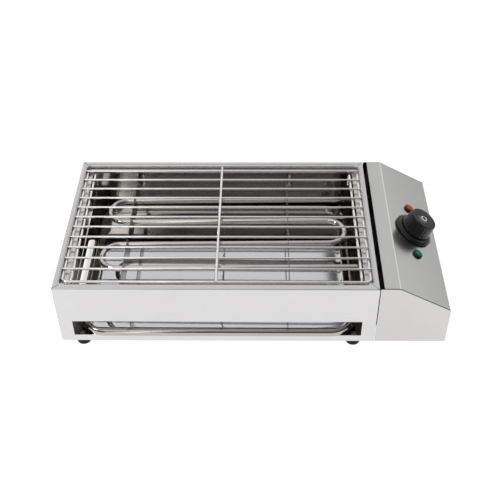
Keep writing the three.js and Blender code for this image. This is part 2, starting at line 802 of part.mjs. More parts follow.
// The knob, its shaft and the thermostat, built square to the slope.
function makeThermostat() {
  const skirt = knobSkirtDiameter / 2;
  const grip = knobGripDiameter / 2;
  const top = knobTopDiameter / 2;
  const shaft = shaftDiameter / 2;
  const socket = shaft + fitGap;
  const hub = knobHubDiameter / 2;
  const ceiling = knobHeight - knobWall;
  const hubFoot = neckReach + knobRunningGap;
  const shaftTop = hubFoot + shaftGrip;
  const ledgeWall = grip - knobWall;
  const knob = turned([
    [0, shaftTop + fitGap], [socket, shaftTop + fitGap], [socket, hubFoot], [hub, hubFoot],
    [hub, ceiling], [top - knobWall, ceiling], [ledgeWall, knobGripBase - knobWall],
    [skirt - knobWall, knobRimHeight - knobRunningGap], [skirt - knobWall, knobRunningGap],
    [skirt, knobRunningGap], [skirt, knobRimHeight], [grip, knobGripBase],
    [top, knobHeight - knobChamfer], [top - knobChamfer, knobHeight], [0, knobHeight],
  ], knobSides);
  const grooves = [];
  const grooveRadius = knobGrooveShare * knobRibDepth;
  for (let index = 0; index < knobRibCount; index += 1) {
    const angle = 2 * Math.PI * (index + 0.5) / knobRibCount;
    const lean = Math.atan2(grip - top, knobHeight - knobChamfer - knobGripBase);
    const groove = bar(2 * grooveRadius, knobRibDepth, knobHeight, rodSides / 2).rotateY(-lean);
    grooves.push(groove.translate(grip + grooveRadius - knobRibDepth, 0, knobGripBase).rotateZ(angle));
  }
  grooves.push(bar(knobBadgeDiameter, knobHeight - knobBadgeDepth, knobHeight + cutOverrun, roundSides));
  place('knob', cut(knob, grooves), 'black', slopeGroup);

  const under = -sheet - fitGap;
  const shaftBar = bar(shaftDiameter, under - shaftSeat, shaftTop, fastenerSides);
  place('thermostat_shaft', shaftBar, 'zinc', slopeGroup);

  const wellDepth = under - shaftSeat - fitGap;
  const body = block(-thermostatWidth / 2, thermostatWidth / 2, -thermostatDepth / 2, thermostatDepth / 2,
    under - thermostatHeight, under);
  const collar = bar(neckDiameter, under - weldSink, neckReach, roundSides);
  const well = bar(clearHole(shaftDiameter), wellDepth, neckReach + cutOverrun, roundSides);
  place('thermostat_body', cut(joined([body, collar]), [well]), 'ceramic', slopeGroup);
  const nutOutline = punch(hexagon(neckNutAcross), 0, 0, clearHole(neckDiameter));
  place('thermostat_nut', upright(nutOutline, fitGap, fitGap + neckNutThickness), 'zinc', slopeGroup);
}

// The sensor bulb under the ledge, its thin tube to the thermostat, and the clip on the right panel.
function makeSensor() {
  const x = bodyWidth - sheet - bulbStandOff;
  const z = bulbHeight;
  const bulbEnd = capillaryPlace - capillaryLead;
  const bulb = rod([[x, bulbEnd - bulbLength, z], [x, bulbEnd, z]], bulbDiameter, wireBendRadius, tubeSides);
  const inlet = slopeCentre.x - capillaryInletShare * thermostatWidth;
  const tube = rod([[x, bulbEnd - weldSink, z], [x, capillaryPlace, z], [inlet, capillaryPlace, z],
    [inlet, thermostatSide, z]], capillaryDiameter, wireBendRadius, leadSides);
  place('sensor_bulb', joined([bulb, tube]), 'brass');

  const eye = bulbDiameter / 2 + fitGap;
  const wall = bodyWidth - sheet - fitGap;
  const front = bulbEnd - bulbLength / 2 - clipWidth / 2;
  const back = front + clipWidth;
  const foot = block(wall - clipThickness, wall, front, back, z - eye - clipWidth, z + eye + clipThickness);
  const arm = block(x - eye - clipThickness, wall, front, back, z - eye - clipThickness,
    z + eye + clipThickness);
  const bore = towardsFront(bar(clearHole(bulbDiameter), -cutOverrun, clipWidth + cutOverrun, tubeSides),
    x, back, z);
  place('sensor_clip', cut(joined([foot, arm]), [bore]), 'zinc');
}

// The two indicator lamps, square to the slope.
function makeLamps() {
  const stem = lensStemDiameter / 2;
  const under = -sheet - fitGap;
  const holder = lampHolderDiameter / 2;
  const holderLow = under - lampHolderLength;
  const thermostatFace = thermostatDepth / 2 + fitGap;
  for (const [colour, direction] of [['orange', 1], ['green', -1]]) {
    const y = direction * lampSpread;
    const profile = [[0, under - lensStemLength], [stem, under - lensStemLength], [stem, fitGap],
      [lensDiameter / 2, fitGap]];
    for (let step = 0; step < bendSteps; step += 1) {
      const angle = Math.PI / 2 * step / bendSteps;
      profile.push([lensDiameter / 2 * Math.cos(angle),
        lensEdgeHeight + (lensHeight - lensEdgeHeight) * Math.sin(angle)]);
    }
    profile.push([0, lensHeight]);
    place(`lamp_lens_${colour}`, turned(profile, roundSides).translate(0, y, 0), colour, slopeGroup);
    place(`lamp_holder_${colour}`, turned([[0, holderLow], [holder, holderLow], [holder, under],
      [stem + fitGap, under], [stem + fitGap, under - lensStemLength - fitGap],
      [0, under - lensStemLength - fitGap]], fastenerSides).translate(0, y, 0), 'black', slopeGroup);
    const wireEnd = holderLow - fitGap;
    const turn = wireEnd - lampWireDrop;
    place(`lamp_wire_${colour}`, rod([[0, y, wireEnd], [0, y, turn], [0, direction * thermostatFace, turn]],
      wireLeadDiameter, lampWireDrop / 2, leadSides), 'lead', slopeGroup);
  }
}

// The terminal block, the cord gland and the inner wires.
function makeWiring() {
  const blockRight = overallLength - blockSideMargin;
  const blockLeft = blockRight - blockWidth;
  const blockBack = bodyDepth - blockBackMargin;
  const blockFront = blockBack - blockDepth;
  const blockLow = sheet + fitGap;
  const blockTop = blockLow + blockHeight;
  place('terminal_block', block(blockLeft, blockRight, blockFront, blockBack, blockLow, blockTop), 'ceramic');

  const bore = glandBore / 2;
  const neck = glandNeckDiameter / 2;
  const collar = glandFlangeDiameter / 2;
  const tail = glandTail + controlPlate + fitGap;
  place('cord_gland', towardsFront(turnedRing([[bore, -glandReach], [neck, -glandReach],
    [collar, -glandCollarShare * glandReach], [collar, -fitGap], [neck, -fitGap], [neck, tail],
    [bore, tail]],
  roundSides), glandX, bodyDepth, glandPlaceHeight), 'rubber');

  const pinEnd = innerWallLeft + heaterReachIntoBox + fitGap + terminalLength + fitGap;
  const pinTurn = pinEnd + wireBendRadius + fitGap;
  const z = heaterAxisHeight;
  const [front, , , back] = heaterRows;
  const thermostatFront = bodyDepth / 2 - thermostatDepth / 2 - fitGap;
  const inletX = slopeCentre.x - wireInletShare * thermostatWidth;
  const inletZ = slopeCentre.z - wireInletShare * thermostatHeight;
  const outletX = slopeCentre.x + wireOutletShare * thermostatWidth;
  const outletZ = inletZ - wireOutletShare * thermostatHeight;
  const blockMidX = (blockLeft + blockRight) / 2;
  const blockMidY = (blockFront + blockBack) / 2;
  const blockMidZ = (blockLow + blockTop) / 2;
  const runs = {
    heater_wire_front: [[pinEnd, front, z], [pinTurn, front, z], [inletX, front + wireStraightRun, inletZ],
      [inletX, thermostatFront, inletZ]],
    heater_wire_back: [[pinEnd, back, z], [pinTurn, back, z], [pinTurn, blockMidY, wireHoverHeight],
      [blockMidX, blockMidY, wireHoverHeight], [blockMidX, blockMidY, blockTop + fitGap]],
    thermostat_wire: [[outletX, thermostatSide, outletZ],
      [outletX, thermostatSide + wireStraightRun, outletZ],
      [blockMidX, blockFront - wireStraightRun, blockMidZ], [blockMidX, blockFront - fitGap, blockMidZ]],
  };
  for (const [name, corners] of Object.entries(runs)) {
    place(name, rod(corners, wireLeadDiameter, wireBendRadius, leadSides), 'lead');
  }
}

function footPlaces() {
  const places = [];
  for (const x of [footSideMargin, bodyWidth - footSideMargin]) {
    for (const y of [footEndMargin, bodyDepth - footEndMargin]) {
      places.push([x, y]);
    }
  }
  return places;
}

// Four rubber feet and the screws that hold them from inside.
function makeFeet() {
  const names = ['front_left', 'back_left', 'front_right', 'back_right'];
  const topRadius = footTopDiameter / 2;
  const toeRadius = footToeDiameter / 2;
  const bore = footScrewDiameter / 2 + fitGap;
  const low = -footHeight;
  const high = -fitGap;
  const boreFoot = high - footScrewReach - fitGap;
  const headSeat = sheet + fitGap;
  footPlaces().forEach(([x, y], index) => {
    const side = [];
    for (let step = 0; step <= domeSteps; step += 1) {
      const angle = Math.PI / 2 * step / domeSteps;
      side.push([toeRadius + (topRadius - toeRadius) * Math.sin(angle),
        high - (high - low) * (1 - footFlareShare * step / domeSteps) * Math.cos(angle)]);
    }
    const foot = turned([[0, low], ...side, [bore, high], [bore, boreFoot], [0, boreFoot]], roundSides);
    place(`foot_${names[index]}`, foot.translate(x, y, 0), 'rubber');
    const screw = turned([[0, high - footScrewReach], [footScrewDiameter / 2, high - footScrewReach],
      [footScrewDiameter / 2, headSeat], [footScrewHead / 2, headSeat],
      [footScrewHead / 2, headSeat + footScrewHeadHeight],
      [0, headSeat + footScrewHeadHeight]], fastenerSides);
    place(`foot_screw_${names[index]}`, screw.translate(x, y, 0), 'zinc');
  });
}

makeBodyPanels();
makeGrateRest();
makeBottomPlate();
makeTrayRails();
makeDripTray();
makeGrate();
makeHeater();
makeBrackets();
makeControlBox();
makeSpacers();
makeThermostat();
makeSensor();
makeLamps();
makeWiring();
makeFeet();

// The part's own frame: its origin is the centre of the footprint, on the surface that it stands on.
grill.position.set(-overallLength / 2, trayReach - overallDepth / 2, footHeight);
const part = new THREE.Group();
part.add(grill);

export default part;
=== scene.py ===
import json
import math
from functools import partial

import bmesh
import bpy
from mathutils import Matrix, Vector


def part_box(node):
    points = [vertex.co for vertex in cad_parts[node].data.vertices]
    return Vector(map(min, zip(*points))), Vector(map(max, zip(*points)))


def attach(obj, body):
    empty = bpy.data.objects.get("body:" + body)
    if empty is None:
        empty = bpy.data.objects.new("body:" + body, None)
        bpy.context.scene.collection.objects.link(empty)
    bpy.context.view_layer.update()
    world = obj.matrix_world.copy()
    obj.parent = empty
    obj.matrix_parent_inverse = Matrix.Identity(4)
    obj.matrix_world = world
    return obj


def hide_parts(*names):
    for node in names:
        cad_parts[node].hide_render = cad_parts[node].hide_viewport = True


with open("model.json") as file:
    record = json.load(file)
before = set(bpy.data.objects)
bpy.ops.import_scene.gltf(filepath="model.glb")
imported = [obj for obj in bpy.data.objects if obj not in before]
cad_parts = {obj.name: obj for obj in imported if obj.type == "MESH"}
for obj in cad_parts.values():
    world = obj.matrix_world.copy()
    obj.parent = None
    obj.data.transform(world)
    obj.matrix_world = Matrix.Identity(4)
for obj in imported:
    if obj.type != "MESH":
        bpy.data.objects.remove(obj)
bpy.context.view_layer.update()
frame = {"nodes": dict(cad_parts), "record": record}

bl_info = {
    "name": "Tabletop Electric Grill",
    "version": (1, 0, 0),
    "blender": (4, 5, 0),
    "location": "3D View > Sidebar > Grill",
    "description": "Dresses an open-top electric grill: body, wire grate, heater, drip tray, control box",
    "category": "Add Mesh",
}

MM = 0.001

# The body's front left bottom corner, which the millimetre places below are measured from, and its opposite.
BODY_CORNER = Vector((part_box("left_panel")[0].x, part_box("front_panel")[0].y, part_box("front_panel")[0].z))
BODY_BACK_CORNER = Vector((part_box("right_panel")[1].x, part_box("back_panel")[1].y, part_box("back_panel")[1].z))
BODY_WIDTH = (BODY_BACK_CORNER.x - BODY_CORNER.x) / MM
BODY_DEPTH = (BODY_BACK_CORNER.y - BODY_CORNER.y) / MM
BODY_MIDDLE = (BODY_CORNER + BODY_BACK_CORNER) / 2
SHEET = 0.8
FIT_GAP = 0.3

# The slope that carries the knob and lamps; its frame has X down the slope and Z out of it.
COVER_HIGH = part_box("control_cover")[1]
SLOPE_DROP = 40.0
SLOPE_WIDTH = 71.5
SLOPE_ANGLE = math.atan2(SLOPE_DROP, SLOPE_WIDTH)
SLOPE_CENTRE = Vector((
    COVER_HIGH.x - SLOPE_WIDTH / 2 * MM,
    BODY_CORNER.y + BODY_DEPTH / 2 * MM,
    COVER_HIGH.z - SLOPE_DROP / 2 * MM,
))
SLOPE_FRAME = Matrix.Translation(SLOPE_CENTRE) @ Matrix.Rotation(SLOPE_ANGLE, 4, "Y")


def length(name, description, default):
    """A length that a user can change, with its default in millimetres."""
    return bpy.props.FloatProperty(name=name, description=description, default=default * MM, unit="LENGTH")


def paint(name, description, default):
    """A colour that a user can change."""
    return bpy.props.FloatVectorProperty(
        name=name, description=description, subtype="COLOR", default=default, min=0, max=1)


class GrillSizes(bpy.types.PropertyGroup):
    """Sizes of the pieces that are modelled here."""

    wire_diameter: length("Wire diameter", "Thickness of the grate's long wires", 3.2)
    frame_diameter: length("Frame rod diameter", "Thickness of the grate's frame and cross rods", 3.8)
    wire_count: bpy.props.IntProperty(
        name="Long wires", description="How many long wires lie across the grate", default=11, min=2)
    wire_pitch: length("Wire pitch", "Distance from one long wire to the next", 21.8)
    first_wire: length("First wire", "Distance of the first long wire from the body's front face", 42)
    heater_diameter: length("Heater diameter", "Thickness of the heater's tube", 8)
    fold_radius: length("Fold radius", "Outer radius where the sheet steel is folded", 1.1)
    edge_radius: length("Edge radius", "Rounding of cut sheet edges", 0.25)
    knob_ribs: bpy.props.IntProperty(
        name="Knob ribs", description="How many grip ribs run round the knob", default=24, min=6)
    knob_rib_depth: length("Rib depth", "Depth of the valleys between the knob's ribs", 0.35)


class GrillColours(bpy.types.PropertyGroup):
    """Colours of the finishes."""

    panel: paint("Panel steel", "Satin stainless sheet of the body", (0.705, 0.695, 0.705))
    # Inner steel is darker than the panel steel: painted shade on the panels' faces inside the body.
    inner: paint("Inner steel", "The panels' polished inner faces, dulled by heat", (0.42, 0.40, 0.375))
    # Dark steel is painted shade: the bottom plate, rails and heater brackets sit in shade inside the body.
    dark: paint("Dark steel", "Bottom plate, rails and heater brackets, darkened by heat", (0.30, 0.29, 0.28))
    control: paint("Control box steel", "Satin stainless sheet of the control box", (0.625, 0.62, 0.615))
    # Fold steel is brighter than the control steel: a painted highlight along the fold's crest and the rest's
    # rolled edge.
    fold: paint("Fold steel", "The rubbed crest of the control box's fold", (0.76, 0.76, 0.75))
    # The gap steel is near black: painted shade on the faces in the narrow gap between the body and the control
    # box.
    sooted: paint(
        "Sooted steel", "Faces in the gap between the body and the control box", (0.035, 0.033, 0.03))
    mirror: paint("Tray steel", "Mirror-polished sheet of the drip tray", (0.70, 0.70, 0.725))
    # The tray rim steel is a little rougher than the floor, and darker as painted shade on the rim and wall.
    tray_rim: paint(
        "Tray rim steel", "The tray's rolled rim and wall, less polished than its floor", (0.46, 0.445, 0.42))
    chrome: paint("Grate wire", "Bright plated wire", (0.93, 0.92, 0.90))
    heater: paint("Heater steel", "Warm grey steel of the heater's tube", (0.72, 0.70, 0.67))
    plastic: paint("Knob plastic", "Black moulded plastic", (0.018, 0.017, 0.018))
    orange: paint("Orange lens", "Clear-coloured plastic of the first lamp", (0.74, 0.115, 0.004))
    green: paint("Green lens", "Clear-coloured plastic of the second lamp", (0.0, 0.22, 0.155))
    rubber: paint("Rubber", "Dark rubber of the feet", (0.018, 0.018, 0.018))
    # Brass is kept near black, far darker than bright brass: painted shade for parts in the dark gap and box.
    brass: paint("Brass", "Turned brass of the heater's bushings", (0.10, 0.075, 0.04))
    zinc: paint("Zinc", "Dull plated steel of the hidden parts", (0.50, 0.51, 0.52))


def sizes():
    return bpy.context.scene.grill_sizes


def colours():
    return bpy.context.scene.grill_colours


def at(x, y, z):
    """A place in metres from millimetres measured from the body's corner."""
    return BODY_CORNER + Vector((x, y, z)) * MM


# Nodes

def fed(tree, node, inputs):
    """Gives each named input of a node another node's output, or a value of its own."""
    for socket, source in inputs.items():
        if isinstance(source, bpy.types.NodeSocket):
            tree.links.new(source, node.inputs[socket])
        else:
            node.inputs[socket].default_value = source


def placed(tree, kind, inputs, **settings):
    """A new node with its settings and inputs; returns its outputs."""
    node = tree.nodes.new(kind)
    for name, value in settings.items():
        setattr(node, name, value)
    fed(tree, node, inputs)
    return node.outputs


def new_group(name, kind, inputs, outputs):
    """An empty node group with named sockets; returns it, its inlet's outputs and its outlet."""
    group = bpy.data.node_groups.new(name, kind)
    for way, sockets in (("INPUT", inputs), ("OUTPUT", outputs)):
        for socket, holds in sockets.items():
            group.interface.new_socket(socket, in_out=way, socket_type=f"NodeSocket{holds}")
    inlet = group.nodes.new("NodeGroupInput")
    return group, inlet.outputs, group.nodes.new("NodeGroupOutput")


def worked(tree, operation, *values):
    """What a Math node makes of its values."""
    return placed(tree, "ShaderNodeMath", dict(enumerate(values)), operation=operation)[0]


def vector_worked(tree, operation, *values):
    """What a Vector Math node makes of its vectors."""
    return placed(tree, "ShaderNodeVectorMath", dict(enumerate(values)), operation=operation)[0]


def scaled(tree, vector, share):
    """A vector or colour times a number."""
    return placed(tree, "ShaderNodeVectorMath", {0: vector, "Scale": share}, operation="SCALE")[0]


def mapped(tree, value, start, end, low=0.0, high=1.0, curve="LINEAR"):
    """A value carried from one range to another."""
    return placed(tree, "ShaderNodeMapRange", {
        "Value": value, "From Min": start, "From Max": end, "To Min": low, "To Max": high,
    }, interpolation_type=curve)["Result"]


def blended(tree, share, first, second):
    """A mix of two colours."""
    return placed(tree, "ShaderNodeMix", {
        "Factor": share, "A": first, "B": second}, data_type="RGBA")["Result"]


def ramp(tree, value, stops):
    """A colour by a value from 0 to 1, from stops of (place, colour) in order."""
    outputs = placed(tree, "ShaderNodeValToRGB", {"Fac": value})
    elements = outputs["Color"].node.color_ramp.elements
    for stop in stops[1:-1]:
        elements.new(stop[0])
    for element, stop in zip(elements, stops):
        element.color = stop[1]
    return outputs["Color"]


# Shader groups

# The noise's values where a patch starts and where it is full.
PATCH_LIMITS = (0.35, 0.75)


def grain_group():
    """Fine lines that run one way, as a brushing wheel leaves them."""
    name = "Brushing Lines"
    if name in bpy.data.node_groups:
        return bpy.data.node_groups[name]
    group, given, outlet = new_group(
        name, "ShaderNodeTree", {"Stretch": "Vector", "Depth": "Float", "Base Roughness": "Float"},
        {"Roughness": "Float", "Height": "Float", "Tone": "Float"})
    coords = placed(group, "ShaderNodeTexCoord", {})
    stretched = vector_worked(group, "MULTIPLY", coords["Object"], given["Stretch"])
    lines = placed(group, "ShaderNodeTexNoise", {"Vector": stretched, "Scale": 1.0, "Detail": 3.0})["Fac"]
    swing = worked(group, "MULTIPLY", worked(group, "SUBTRACT", lines, 0.5), given["Depth"])
    fed(group, outlet, {
        "Roughness": worked(group, "ADD", swing, given["Base Roughness"]),
        "Height": lines,
        "Tone": worked(group, "ADD", swing, 1.0)})
    return group


def mottle_group():
    """Broad soft patches, as handling and heat leave them."""
    name = "Soft Mottling"
    if name in bpy.data.node_groups:
        return bpy.data.node_groups[name]
    group, given, outlet = new_group(
        name, "ShaderNodeTree",
        {"Patches per Metre": "Float", "Clean": "Color", "Patch": "Color", "Share": "Float"},
        {"Color": "Color"})
    coords = placed(group, "ShaderNodeTexCoord", {})
    patches = placed(group, "ShaderNodeTexNoise", {
        "Vector": coords["Object"], "Scale": given["Patches per Metre"], "Detail": 4.0})["Fac"]
    share = worked(group, "MULTIPLY", mapped(group, patches, *PATCH_LIMITS), given["Share"])
    fed(group, outlet, {"Color": blended(group, share, given["Clean"], given["Patch"])})
    return group


# Materials

# How fine the brushing lines are along each axis, in lines per metre.
ALONG_X = (60.0, 2600.0, 2600.0)
ALONG_Y = (2600.0, 60.0, 2600.0)
UPRIGHT = (350.0, 350.0, 12.0)
EVEN = (900.0, 900.0, 900.0)

# Patches per metre, their tint and share, and the bumps' depths in millimetres.
METAL_PATCHES = 14.0
METAL_BUMP_DEPTH = 0.05
MOULDED_PATCHES = 60.0
MOULDED_TINT = 0.8
MOULDED_SHARE = 0.5
MOULDED_GRAIN = 0.12
MOULDED_BUMP_DEPTH = 0.1
CERAMIC = (0.80, 0.77, 0.70)
WIRE_SLEEVE = (0.30, 0.07, 0.05)

# Painted light on a lens: lighter in its middle and darker at its edge, by an attribute of its points.
LENS_PAINTED_LIGHT = "lens_depth"
LENS_MIDDLE_TONE = 1.25
LENS_EDGE_TONE = 0.15
LENS_PATCHES = 160.0
LENS_TINT = 0.7
LENS_SHARE = 0.6
LENS_ROUGHNESS = 0.06
LENS_SPECULAR = 0.22


def new_material(name):
    material = bpy.data.materials.new(name)
    material.use_nodes = True
    return material, material.node_tree, material.node_tree.nodes["Principled BSDF"]


def mottled(tree, colour, patches, tint, share):
    """A colour with patches of a darker shade of it; it is given, or named as one of the user's."""
    clean = getattr(colours(), colour) if isinstance(colour, str) else colour
    return placed(tree, "ShaderNodeGroup", {
        "Patches per Metre": patches, "Clean": (*clean, 1.0), "Share": share,
        "Patch": (*(channel * tint for channel in clean), 1.0)}, node_tree=mottle_group())["Color"]


def grained(tree, roughness, stretch, depth):
    """The outputs of the brushing lines."""
    return placed(tree, "ShaderNodeGroup", {
        "Stretch": stretch, "Depth": depth, "Base Roughness": roughness}, node_tree=grain_group())


def bumped(tree, height, strength, distance):
    """A normal from a height, with the distance in millimetres."""
    return placed(tree, "ShaderNodeBump", {
        "Strength": strength, "Distance": distance * MM, "Height": height})["Normal"]


def metal(colour, roughness, stretch, depth, patch_share=0.25, patch_tint=0.86, bump=0.05, *, tree):
    """The shader's inputs for a worked metal: brushing lines over broad soft patches."""
    grain = grained(tree, roughness, stretch, depth)
    patches = mottled(tree, colour, METAL_PATCHES, patch_tint, patch_share)
    inputs = {"Metallic": 1.0, "Base Color": scaled(tree, patches, grain["Tone"]),
              "Roughness": grain["Roughness"]}
    if bump:
        inputs["Normal"] = bumped(tree, grain["Height"], bump, METAL_BUMP_DEPTH)
    return inputs


def moulded(colour, roughness, grain_scale, bump, specular=0.5, *, tree):
    """The shader's inputs for a moulded plastic, rubber or ceramic with a fine cast grain."""
    grain = grained(tree, roughness, (grain_scale, grain_scale, grain_scale), MOULDED_GRAIN)
    return {"Base Color": mottled(tree, colour, MOULDED_PATCHES, MOULDED_TINT, MOULDED_SHARE),
            "Roughness": grain["Roughness"],
            "Normal": bumped(tree, grain["Height"], bump, MOULDED_BUMP_DEPTH),
            "Specular IOR Level": specular}


def lens(colour, *, tree):
    """The shader's inputs for clear-coloured plastic: a deep colour under a hard gloss, with painted light
    lightening its middle and darkening its edge.
    """
    # The colour is scaled by the points' painted light.
    depth = placed(tree, "ShaderNodeAttribute", {}, attribute_name=LENS_PAINTED_LIGHT)["Fac"]
    return {"Base Color": scaled(tree, mottled(tree, colour, LENS_PATCHES, LENS_TINT, LENS_SHARE), depth),
            "Roughness": LENS_ROUGHNESS,
            "Specular IOR Level": LENS_SPECULAR}


# A metal has its colour, roughness, the brushing's direction and depth, and its patches' share and tint;
# a moulding has its colour, roughness, and the fineness and strength of its grain.
FINISHES = {
    "panel steel": partial(metal, "panel", 0.30, ALONG_X, 0.10),
    "control box steel": partial(metal, "control", 0.24, ALONG_Y, 0.08),
    # The fold's brighter steel is a painted highlight.
    "polished fold": partial(metal, "fold", 0.25, ALONG_Y, 0.05, bump=0),
    # Near-black steel is painted shade in the gap beside the control box.
    "sooted steel": partial(metal, "sooted", 0.5, EVEN, 0.1, bump=0),
    # The inner faces' darker steel is painted shade inside the body.
    "inner panel steel": partial(metal, "inner", 0.09, UPRIGHT, 0.02, 0.5, 0.75, bump=0),
    "grate rest steel": partial(metal, "panel", 0.27, EVEN, 0.03, 0.35, 0.85, bump=0),
    # The dark steel is painted shade inside the body.
    "dark inner steel": partial(metal, "dark", 0.18, EVEN, 0.04, 0.6, 0.7, bump=0),
    "mirror steel": partial(metal, "mirror", 0.045, EVEN, 0.02, 0.15, 0.9, bump=0),
    # The tray rim's darker steel is painted shade; its roughness is its own.
    "tray rim steel": partial(metal, "tray_rim", 0.10, ALONG_X, 0.04, bump=0),
    "grate chrome": partial(metal, "chrome", 0.12, EVEN, 0.06, 0.3, 0.8, bump=0),
    "heater steel": partial(metal, "heater", 0.07, EVEN, 0.02, 0.4, 0.8, bump=0),
    "zinc steel": partial(metal, "zinc", 0.42, EVEN, 0.2, 0.5, 0.8),
    "rivet steel": partial(metal, "chrome", 0.10, EVEN, 0.05, bump=0),
    "brass": partial(metal, "brass", 0.3, EVEN, 0.1),
    "knob plastic": partial(moulded, "plastic", 0.19, 1800.0, 0.05, specular=0.36),
    "rubber": partial(moulded, "rubber", 0.7, 1500.0, 0.3),
    "ceramic": partial(moulded, CERAMIC, 0.35, 600.0, 0.05),
    "wire sleeve": partial(moulded, WIRE_SLEEVE, 0.6, 1200.0, 0.2),
    "orange lens": partial(lens, "orange"),
    "green lens": partial(lens, "green"),
}


def finish(name):
    """A material by its name, made when it is first asked for."""
    if name in bpy.data.materials:
        return bpy.data.materials[name]
    material, tree, shader = new_material(name)
    fed(tree, shader, FINISHES[name](tree=tree))
    return material


# The record's slot of each node, and the finish that dresses a slot.
SLOT_OF = {part["node"]: part["material_slot"] for part in frame["record"]["subparts"]}
SLOT_FINISH = {
    "panel_steel": "panel steel",
    "control_steel": "control box steel",
    "zinc_steel": "zinc steel",
    "mirror_steel": "mirror steel",
    "grate_chrome": "grate chrome",
    "heater_steel": "heater steel",
    "brass": "brass",
    "knob_black": "knob plastic",
    "lens_orange": "orange lens",
    "lens_green": "green lens",
    "ceramic": "ceramic",
    "wire_sleeve": "wire sleeve",
    "rubber": "rubber",
}


def body_of_node(node):
    for body, members in frame["record"]["behaviour"]["bodies"].items():
        if node in members:
            return body
    raise RuntimeError(f"no body holds {node}")


# Mesh helpers

# Distances in millimetres, angles in degrees.
MERGE_DISTANCE = 0.001
SHEET_MERGE_DISTANCE = 0.002
LEAST_STEP = 0.01
ON_FACE = 0.05
FLAT_ANGLE = 0.6
EDGE_ANGLE = 25.0
SHARP_ANGLE = 32.0
PRESSED_SHARP_ANGLE = 50.0
FOLD_SEGMENTS = 4
EDGE_SEGMENTS = 2


def linked(name, data):
    """A new object in the scene."""
    made = bpy.data.objects.new(name, data)
    bpy.context.scene.collection.objects.link(made)
    return made


def object_from(bm, name):
    mesh = bpy.data.meshes.new(name)
    bm.to_mesh(mesh)
    bm.free()
    return linked(name, mesh)


def frozen(source, name):
    """The finished mesh of an object with its modifiers, as a new plain object; the source is removed."""
    bpy.context.view_layer.update()
    graph = bpy.context.evaluated_depsgraph_get()
    mesh = bpy.data.meshes.new_from_object(source.evaluated_get(graph), depsgraph=graph)
    mesh.name = name
    bpy.data.objects.remove(source)
    return linked(name, mesh)


def settle(piece, name, nodes):
    """Gives a piece its finish, and puts it in the place of the nodes that it stands for."""
    piece.data.materials.clear()
    piece.data.materials.append(finish(name))
    for face in piece.data.polygons:
        face.use_smooth = True
        face.material_index = 0
    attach(piece, body_of_node(nodes[0]))
    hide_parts(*nodes)


def refinished(piece, name, is_chosen):
    """Gives another finish to the faces that pass a test of their middle and normal."""
    piece.data.materials.append(finish(name))
    for face in piece.data.polygons:
        if is_chosen(face.center, face.normal):
            face.material_index = len(piece.data.materials) - 1


def outward(bm):
    """Merges doubles and turns the faces outwards."""
    bmesh.ops.remove_doubles(bm, verts=bm.verts, dist=MERGE_DISTANCE * MM)
    bmesh.ops.recalc_face_normals(bm, faces=bm.faces)


def sharpened(piece, degrees=SHARP_ANGLE):
    """Marks the sharp edges, so that smooth shading stops at them."""
    bm = bmesh.new()
    bm.from_mesh(piece.data)
    limit = math.radians(degrees)
    for edge in bm.edges:
        edge.smooth = len(edge.link_faces) == 2 and edge.calc_face_angle(0.0) < limit
    bm.to_mesh(piece.data)
    bm.free()


def evened(piece):
    """Keeps broad flat faces flat in the shading, so that only the narrow rounded strips turn."""
    weighted = piece.modifiers.new("Weighted Normals", "WEIGHTED_NORMAL")
    weighted.keep_sharp = True
    weighted.weight = 100
    return frozen(piece, piece.name)


def rounded(bm, edges, radius, segments):
    bmesh.ops.bevel(bm, geom=edges, offset=radius, segments=segments, profile=0.5, affect="EDGES",
                    clamp_overlap=True)


def softened(node, name, is_fold=None):
    """A copy of a sheet node with its folds rounded and its cut edges broken."""
    bm = bmesh.new()
    bm.from_mesh(frame["nodes"][node].data)
    bmesh.ops.remove_doubles(bm, verts=bm.verts, dist=SHEET_MERGE_DISTANCE * MM)
    bmesh.ops.dissolve_limit(bm, angle_limit=math.radians(FLAT_ANGLE), verts=bm.verts, edges=bm.edges)
    corner = math.radians(EDGE_ANGLE)
    if is_fold:
        folds = [edge for edge in bm.edges if edge.calc_face_angle(0.0) > corner and is_fold(edge)]
        rounded(bm, folds, sizes().fold_radius, FOLD_SEGMENTS)
    edges = [edge for edge in bm.edges if edge.calc_face_angle(0.0) > corner]
    rounded(bm, edges, sizes().edge_radius, EDGE_SEGMENTS)
    bmesh.ops.triangulate(bm, faces=[face for face in bm.faces if len(face.verts) > 4])
    low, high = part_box(node)
    for vert in bm.verts:
        vert.co = [min(max(place, least), most) for place, least, most in zip(vert.co, low, high)]
    for face in bm.faces:
        face.smooth = True
    piece = object_from(bm, name)
    sharpened(piece)
    return evened(piece)


def lathe(name, profile, steps, transform, shape=None):
    """Turns (radius, height) pairs in millimetres about Z; shape may change a radius by angle and height."""
    bm = bmesh.new()
    rings = []
    for radius, height in profile:
        if radius == 0:
            rings.append([bm.verts.new(Vector((0, 0, height * MM)))])
            continue
        ring = []
        for step in range(steps):
            angle = 2 * math.pi * step / steps
            reach = shape(radius, height, angle) if shape else radius
            ring.append(bm.verts.new(Vector((reach * math.cos(angle), reach * math.sin(angle), height)) * MM))
        rings.append(ring)
    for low, high in zip(rings, rings[1:]):
        for step in range(steps):
            after = (step + 1) % steps
            if len(low) == 1:
                bm.faces.new((low[0], high[step], high[after]))
            elif len(high) == 1:
                bm.faces.new((low[after], low[step], high[0]))
            else:
                bm.faces.new((low[after], low[step], high[step], high[after]))
    outward(bm)
    bmesh.ops.transform(bm, matrix=transform, verts=bm.verts)
    return object_from(bm, name)


